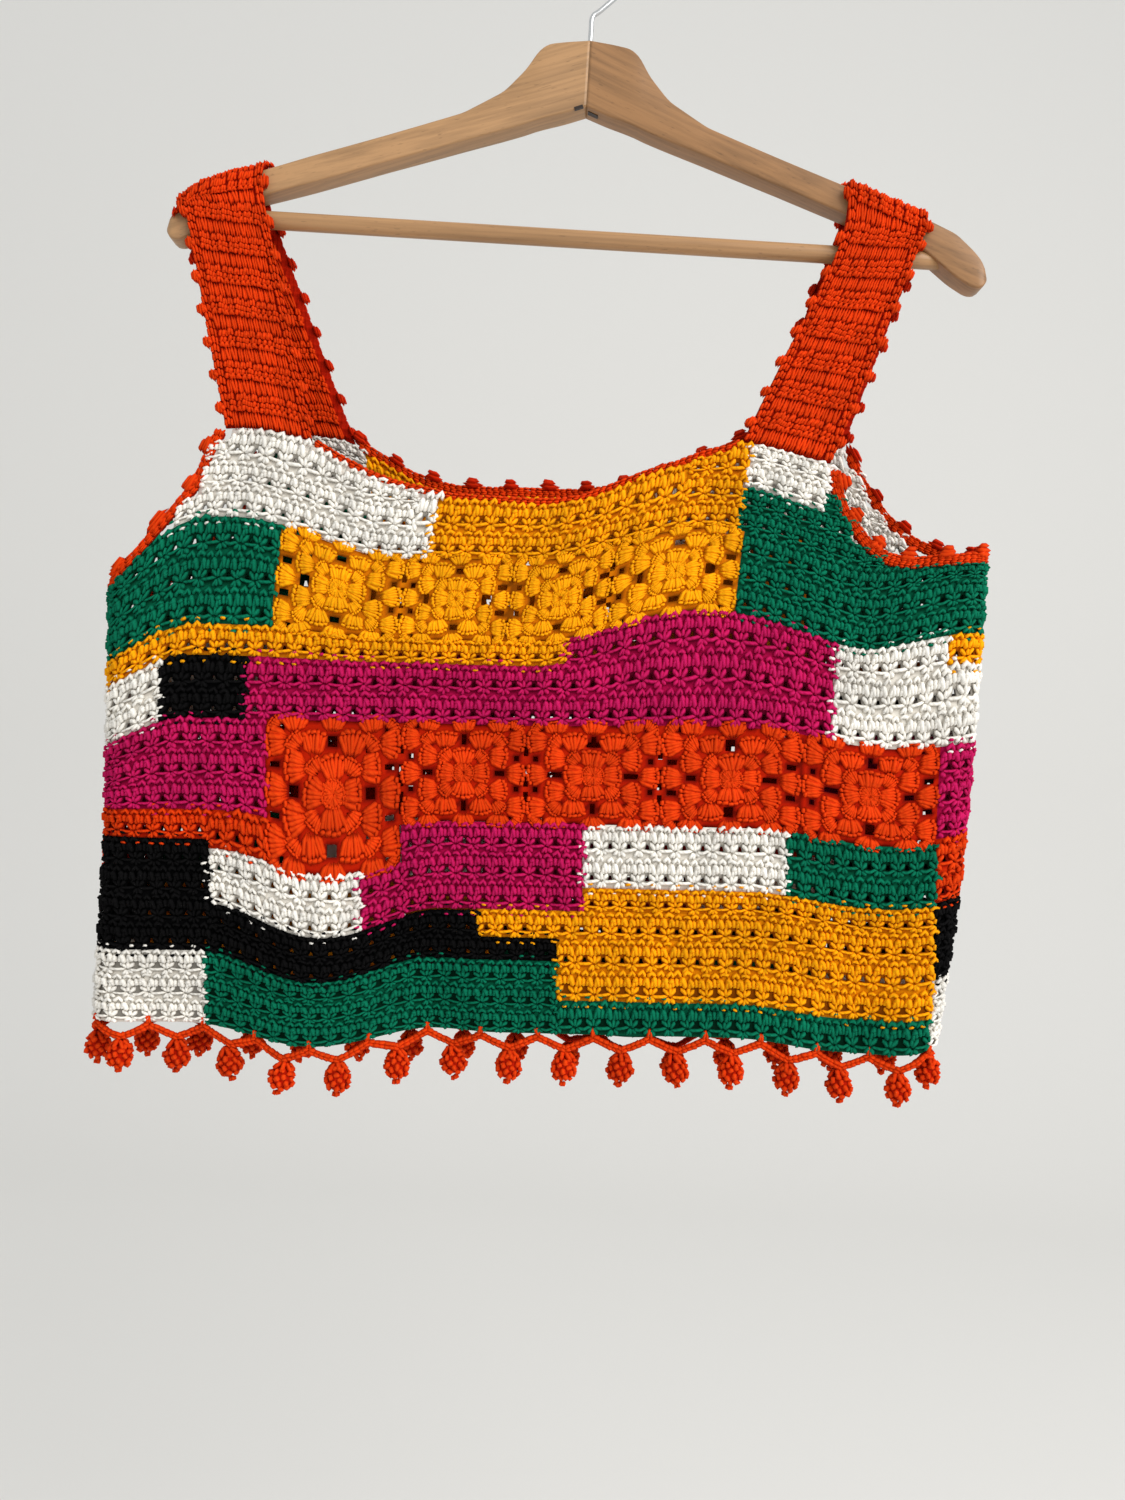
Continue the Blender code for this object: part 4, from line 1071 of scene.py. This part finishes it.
def makeEdging(name):
    first, last, width, picots, lift = edgings[name]
    line, out = edgeLine(first, last)
    wide = width > 3.0
    knots, bumps = [], []
    step, gap = int(edging["pitch"] / edging["step"]), int(edging["picotPitch"] / edging["step"])
    for k in range(step // 2, len(line), step):
        angle = math.atan2(-out[k, 0], out[k, 1]) - math.pi / 2.0
        for share in ((0.28, 0.78) if wide else (0.4,)):
            x, y = (line[k] + out[k] * width * share) * mm
            knots += [(x, y, angle + flip, flip, 0.72 if wide else 0.8, 1.0, 0.9) for flip in (0.0, math.pi)]
    for k in range(gap // 3, len(line), gap):
        x, y = (line[k] + out[k] * (width - 0.2)) * mm
        bumps.append((x, y, math.atan2(out[k, 1], out[k, 0]) - math.pi / 2.0, 0.0, *edging["picotSize"]))
    pieces = [stitch(name + "_stitches", knots, knotMotifs, wholeCloth, yarn["orange"], lift=lift * mm, seed=160)]
    if picots:
        pieces.append(stitch(name + "_picots", bumps, bigPicotMotifs, wholeCloth, yarn["orange"], seed=170))
    flat = np.concatenate([line[::5] - out[::5] * 0.6, line[::5] + out[::5] * (width - 0.6)])
    count = len(flat) // 2
    faces = [(k, k + 1, count + k + 1, count + k) for k in range(count - 1)]
    # the band gets shade level 0.1, painted nearly in the colour of the gap shade
    band = clothWall(name + "_band", flat / (cloth["column"], cloth["row"]), faces, [yarn["orange"]],
                     [0.1] * (2 * count), edging["thickness"], lift=lift)
    return [band] + pieces


knotMotifs = motifs("edging stitch", edgeKnot, 151)
bigPicotMotifs = motifs("edging picot", bigPicot, 157)
edgingPieces = {name: makeEdging(name) for name in edgings}
print("edgings made")

hem = {  # a zigzag chain with a bobble at each valley, millimetres from the hem
    "loops": 16, "peak": -1.7, "valley": -8.0, "link": 2.7, "sag": -0.3, "tieHeight": 1.2, "turnSpread": 0.1,
    "bobbleRadius": 7.0, "bobbleHalf": 8.6, "bobbleDrop": 1.4, "core": 0.80, "knobs": 34, "knobTurn": 2.39996,
    "seed": 9,
}
chainLink = (
    (((-0.3, -2.1, 0.1), (-1.45, 0.2, 1.1), (-0.5, 2.5, 0.1)), 1.25),
    (((0.3, -2.1, 0.1), (1.45, 0.2, 1.1), (0.5, 2.5, 0.1)), 1.25),
    (((0.0, -1.8, -0.6), (0.0, 0.3, -1.1), (0.0, 2.2, -0.5)), 1.2),
)
tie = (
    (((-0.7, -2.6, 0.8), (-0.9, 0.2, 2.3), (-0.2, 2.9, 1.0)), 0.95),
    (((0.7, -2.6, 0.8), (0.9, 0.2, 2.2), (0.2, 2.6, 1.0)), 0.95),
)


def bobbleStrands():
    # strands gathered from the top, many short loops lying every way round the ball, and a small knot below
    chance = np.random.default_rng(hem["seed"])
    radius = hem["bobbleRadius"]
    strands = []

    def around(reach, angle, height):
        return reach * math.cos(angle), reach * math.sin(angle), height

    for k in range(6):
        angle = 2.0 * math.pi * k / 6
        strands.append(([around(reach * radius, angle + twist, height) for height, reach, twist
                         in ((9.2, 0.14, 0.0), (6.6, 0.42, 0.3), (4.0, 0.86, 0.7))], 1.4))
    for k in range(hem["knobs"]):
        height = 0.86 - 1.72 * (k + 0.5) / hem["knobs"]
        out = np.array(around(math.sqrt(1.0 - height ** 2), hem["knobTurn"] * k, height))
        side = 0.34 * unit(np.cross(out, chance.normal(0.0, 1.0, 3)))
        size = np.array([1.0, 1.0, 1.14]) * radius * chance.uniform(0.92, 1.04)
        strands.append((((out - side) * 0.80 * size, out * 0.95 * size, (out + side) * 0.80 * size), 1.5))
    for k in range(4):
        angle = math.pi * k / 2.0 + 0.3
        strands.append(([around(reach, angle, height)
                         for reach, height in ((0.5, -6.8), (1.8, -8.4), (0.4, -9.8))], 1.1))
    return strands


# the core's points carry a shade height of nought, so it shows the painted gap shade between the strands
def addCore(shape):
    bmesh.ops.create_uvsphere(shape, u_segments=10, v_segments=7, radius=hem["core"] * hem["bobbleRadius"] * mm,
                              matrix=Matrix.Diagonal((1.0, 1.0, 1.12, 1.0)))


def chainSpots(first):
    pitch = cloth["columns"] / hem["loops"]
    corners = [((first + 0.5 * k * pitch) * cloth["column"], hem["valley"] if k % 2 else hem["peak"])
               for k in range(2 * hem["loops"] + 1)]
    spots = []
    for (x0, y0), (x1, y1) in zip(corners, corners[1:]):
        count = int(round(math.hypot(x1 - x0, y1 - y0) / hem["link"]))
        angle = math.atan2(y1 - y0, x1 - x0) - math.pi / 2.0
        for share in (np.arange(count) + 0.5) / count:
            spots.append(((x0 + (x1 - x0) * share) * mm,
                          (y0 + (y1 - y0) * share + hem["sag"] * math.sin(math.pi * share)) * mm,
                          angle, 0.0, 1.0, 1.0, 1.0))
    chance = np.random.default_rng(int(first) + 3)
    ties = [(x * mm, hem["tieHeight"] * mm, chance.normal(0.0, 0.2), 0.0, 1.0, 1.1, 1.0) for x, y in corners[::2]]
    return spots, ties, [first + (k + 0.5) * pitch for k in range(hem["loops"])]


def makeHem(side, first):
    spots, ties, valleys = chainSpots(first)
    pieces = [stitch(side + "_hem_chain_links", spots, linkMotifs, wholeCloth, yarn["orange"], seed=200,
                     turnSpread=hem["turnSpread"]),
              stitch(side + "_hem_ties", ties, tieMotifs, wholeCloth, yarn["orange"], seed=201)]
    chance = np.random.default_rng(hem["seed"] + int(first))
    drop = np.array([0.0, 0.0, -hem["bobbleDrop"] - hem["bobbleHalf"]]) * mm
    places = [placeCloth(column, hem["valley"] / cloth["row"]) + drop for column in valleys]
    angles = [(chance.normal(0.0, 0.08), chance.normal(0.0, 0.10), chance.uniform(0.0, 6.28)) for column in valleys]
    for k, ball in enumerate(bobbleMotifs):
        pieces.append(hang(f"{side}_bobbles_{k}", places[k::3], angles[k::3], ball, yarn["orange"], 210 + k))
    return pieces


linkMotifs = motifs("chain link", chainLink, 181, spread=0.6)
tieMotifs = motifs("hem tie", tie, 187)
bobbleMotifs = motifs("bobble", bobbleStrands(), 191, fromAxis=True, spread=0.8)
for ball in bobbleMotifs:
    reshape(ball.data, addCore)
    ball.data.shade_smooth()
hemPieces = {side: makeHem(side, first) for side, first in panelFirst.items()}
print("hem trim made")


def woodMaterial(name, tint, lean):
    # fine long grain with short dark flecks, under a thin satin lacquer
    material, shader = newMaterial(name, {"Roughness": 0.42, "Metallic": 0.0, "Specular IOR Level": 0.4,
                                          "Coat Weight": 0.12, "Coat Roughness": 0.3})
    tree = material.node_tree
    node, maths, scaled = nodeMaker(tree)
    place = node("ShaderNodeTexCoord").outputs["Object"]
    turned = node("ShaderNodeMapping", {"Vector": place, "Rotation": (0.0, lean, 0.0)}).outputs[0]

    def grain(stretch, scale, detail):
        squeezed = node("ShaderNodeMapping", {"Vector": turned, "Scale": (stretch, 1.0, 1.0)}).outputs[0]
        return node("ShaderNodeTexNoise", {"Vector": squeezed, "Scale": scale, "Detail": detail}).outputs["Fac"]

    broad, fine, flecks = grain(0.06, 130.0, 4.0), grain(0.025, 520.0, 4.0), grain(0.16, 1100.0, 1.0)
    colour = colourRamp(node, maths("MULTIPLY_ADD", fine, 0.55, maths("MULTIPLY", broad, 0.48)), (
        (0.36, tuple(0.72 * c for c in tint)), (0.60, tuple(1.12 * c for c in tint))))
    dark = node("ShaderNodeMapRange", {"From Min": 0.66, "From Max": 0.76, "To Min": 1.0, "To Max": 0.72,
                                       "Value": flecks})
    tree.links.new(scaled(colour, dark.outputs[0]), shader.inputs["Base Color"])
    tree.links.new(bumped(node, fine, 0.00006), shader.inputs["Normal"])
    return material


def steelMaterial():
    material, shader = newMaterial("zinc wire", {"Roughness": 0.30, "Metallic": 1.0, "Specular IOR Level": 0.5})
    tree = material.node_tree
    node = nodeMaker(tree)[0]
    place = node("ShaderNodeTexCoord").outputs["Object"]
    streak = node("ShaderNodeTexNoise", {"Vector": place, "Scale": 900.0}).outputs["Fac"]
    colour = colourRamp(node, streak, ((0.0, (0.50, 0.51, 0.52)), (1.0, (0.72, 0.73, 0.74))))
    tree.links.new(colour, shader.inputs["Base Color"])
    tree.links.new(bumped(node, streak, 0.00003), shader.inputs["Normal"])
    return material


def loft(name, rings, material):
    # a closed skin through rings of equal counts, its two ends filled
    count, last = len(rings[0]), len(rings) - 1
    faces = [(k * count + q, k * count + (q + 1) % count, (k + 1) * count + (q + 1) % count, (k + 1) * count + q)
             for k in range(last) for q in range(count)]
    faces += [tuple(reversed(range(count))), tuple(last * count + q for q in range(count))]
    mesh = newMesh(name, [point for ring in rings for point in ring], faces, [material])
    reshape(mesh, faceOutwards)
    return newObject(name, mesh)


def addSlot(arm, way):
    # the dark end of a finger joint on the underside, let into the arm beside the middle
    distance, depth, drop, *size = hanger["slots"][arm.name]
    lean = Matrix.Rotation(-way * math.atan2(*hanger["slotSlope"]), 4, "Y")
    place = Matrix.Translation((way * distance * mm, depth * mm, drop * mm)) @ lean @ Matrix.Diagonal((*size, 1.0))

    def cut(shape):
        made = bmesh.ops.create_cube(shape, size=mm, matrix=place)
        for face in {face for vertex in made["verts"] for face in vertex.link_faces}:
            face.material_index = 1

    reshape(arm.data, cut)
    arm.data.materials.append(slotWood)


def makeArm(name, way, material):
    fine = np.linspace(0.03, 223.5, 140)
    top, bottom = (np.interp(fine, armTable[:, 0], armTable[:, k]) for k in (1, 2))
    kernel = np.hanning(7) / np.hanning(7).sum()
    for line in (top, bottom):
        line[3:-3] = np.convolve(line, kernel, mode="valid")
    rings = []
    for k, distance in enumerate(fine):
        shrink = 1.0
        if distance > hanger["tipStart"]:
            shrink = math.sqrt(max(0.08, 1.0 - ((distance - hanger["tipStart"]) / hanger["tipReach"]) ** 2))
        middle, high = 0.5 * (top[k] + bottom[k]), 0.5 * (top[k] - bottom[k]) * shrink
        wide = 0.5 * hanger["thickness"] * (0.6 + 0.4 * shrink)
        corner = min(hanger["rounding"], 0.8 * high)
        ring = []
        for signY, signZ, start in ((1, 1, 0), (-1, 1, 90), (-1, -1, 180), (1, -1, 270)):
            for step in range(5):
                angle = math.radians(start + 90.0 * step / 4)
                y = signY * (wide - corner) + corner * math.cos(angle)
                z = signZ * (high - corner) + corner * math.sin(angle)
                ring.append((way * distance * mm, (armY(distance) + y) * mm, (middle + z) * mm))
        rings.append(ring)
    arm = loft(name, rings, material)
    addSlot(arm, way)
    return arm


def tubeAlong(name, path, radius, sides, material):
    path = np.array(path, float)
    run = unit(np.gradient(path, axis=0))
    side = unit(np.cross(run, (0.0, 1.0, 0.0)))
    up = np.cross(side, run)
    rings = []
    for k, point in enumerate(path):
        size = radius * (0.6 if k in (0, len(path) - 1) else 1.0)
        rings.append([(point + side[k] * math.cos(a) * size + up[k] * math.sin(a) * size) * mm
                      for a in 2.0 * np.pi * np.arange(sides) / sides])
    return loft(name, rings, material)


def makeBar(material):
    half = hanger["barHalf"]
    reach = np.concatenate([[-half - 0.2], np.linspace(-half, half, 24), [half + 0.2]])
    return tubeAlong("bar", [(x, hanger["barY"], hanger["barZ"]) for x in reach], hanger["barRadius"], 24, material)


def makeHook(material):
    bendRadius, stem = hanger["hookInside"] + hanger["wire"], hanger["stemTop"]
    stations = [(0.0, 0.0, z) for z in (hanger["stemFoot"], hanger["stemInHead"], stem - 6.0, stem - 1.5)]
    stations += [(1.2, 0.0, stem + 1.4), (4.4, 0.0, stem + 3.8)]
    for turn in np.radians(np.arange(-42.0, 201.0, 11.0)):
        stations.append((bendRadius * math.cos(turn), 0.0, hanger["wire"] - bendRadius + bendRadius * math.sin(turn)))
    path = smoothPath(np.array(stations), [3] * (len(stations) - 1))
    return tubeAlong("wire_hook", path, hanger["wire"], 12, material)


slotWood = woodMaterial("joint slot", (0.018, 0.007, 0.003), 0.0)
lightWood = woodMaterial("light beech", (0.39, 0.216, 0.096), math.radians(20))
# the right arm's copy of the beech is darker, as painted shade
shadedWood = woodMaterial("darker beech", (0.300, 0.150, 0.059), math.radians(-24))
hangerPieces = {
    "hanger_arm_left": makeArm("left_arm", -1.0, lightWood),
    "hanger_arm_right": makeArm("right_arm", 1.0, shadedWood),
    "trouser_bar": makeBar(woodMaterial("bar beech", (0.385, 0.210, 0.092), 0.0)),
    "hook": makeHook(steelMaterial()),
}
print("hanger made")


def standFor(pieces, slot, *nodes):
    for piece in pieces:
        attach(piece, "root")
    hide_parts(*nodes)


for side in ("front", "back"):
    cloths, trim = bodyPieces[side], hemPieces[side]
    standFor(cloths, "colour_block_yarn", side + "_panel")
    standFor(trim, "orange_yarn", side + "_hem_chain")
    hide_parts(*[f"{side}_bobble_{k + 1:02d}" for k in range(hem["loops"])])
for (side, colour), pieces in squarePieces.items():
    standFor(pieces, colour + "_yarn", f"{side}_{colour}_strip")
    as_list(pieces[1:])
for name, pieces in strapPieces.items():
    standFor(pieces, "orange_yarn", "strap_" + name)
    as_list(pieces[1:])
for name, pieces in edgingPieces.items():
    standFor(pieces, "orange_yarn", name)
for name, piece in hangerPieces.items():
    standFor([piece], "steel_wire" if name == "hook" else "beech", name)

for helper in helpers:
    bpy.data.objects.remove(helper, do_unlink=True)
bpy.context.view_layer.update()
total = sum(len(piece.data.loop_triangles) or sum(len(p.vertices) - 2 for p in piece.data.polygons)
            for piece in scene.objects if piece.type == "MESH" and not piece.hide_render)
print("triangles:", total)
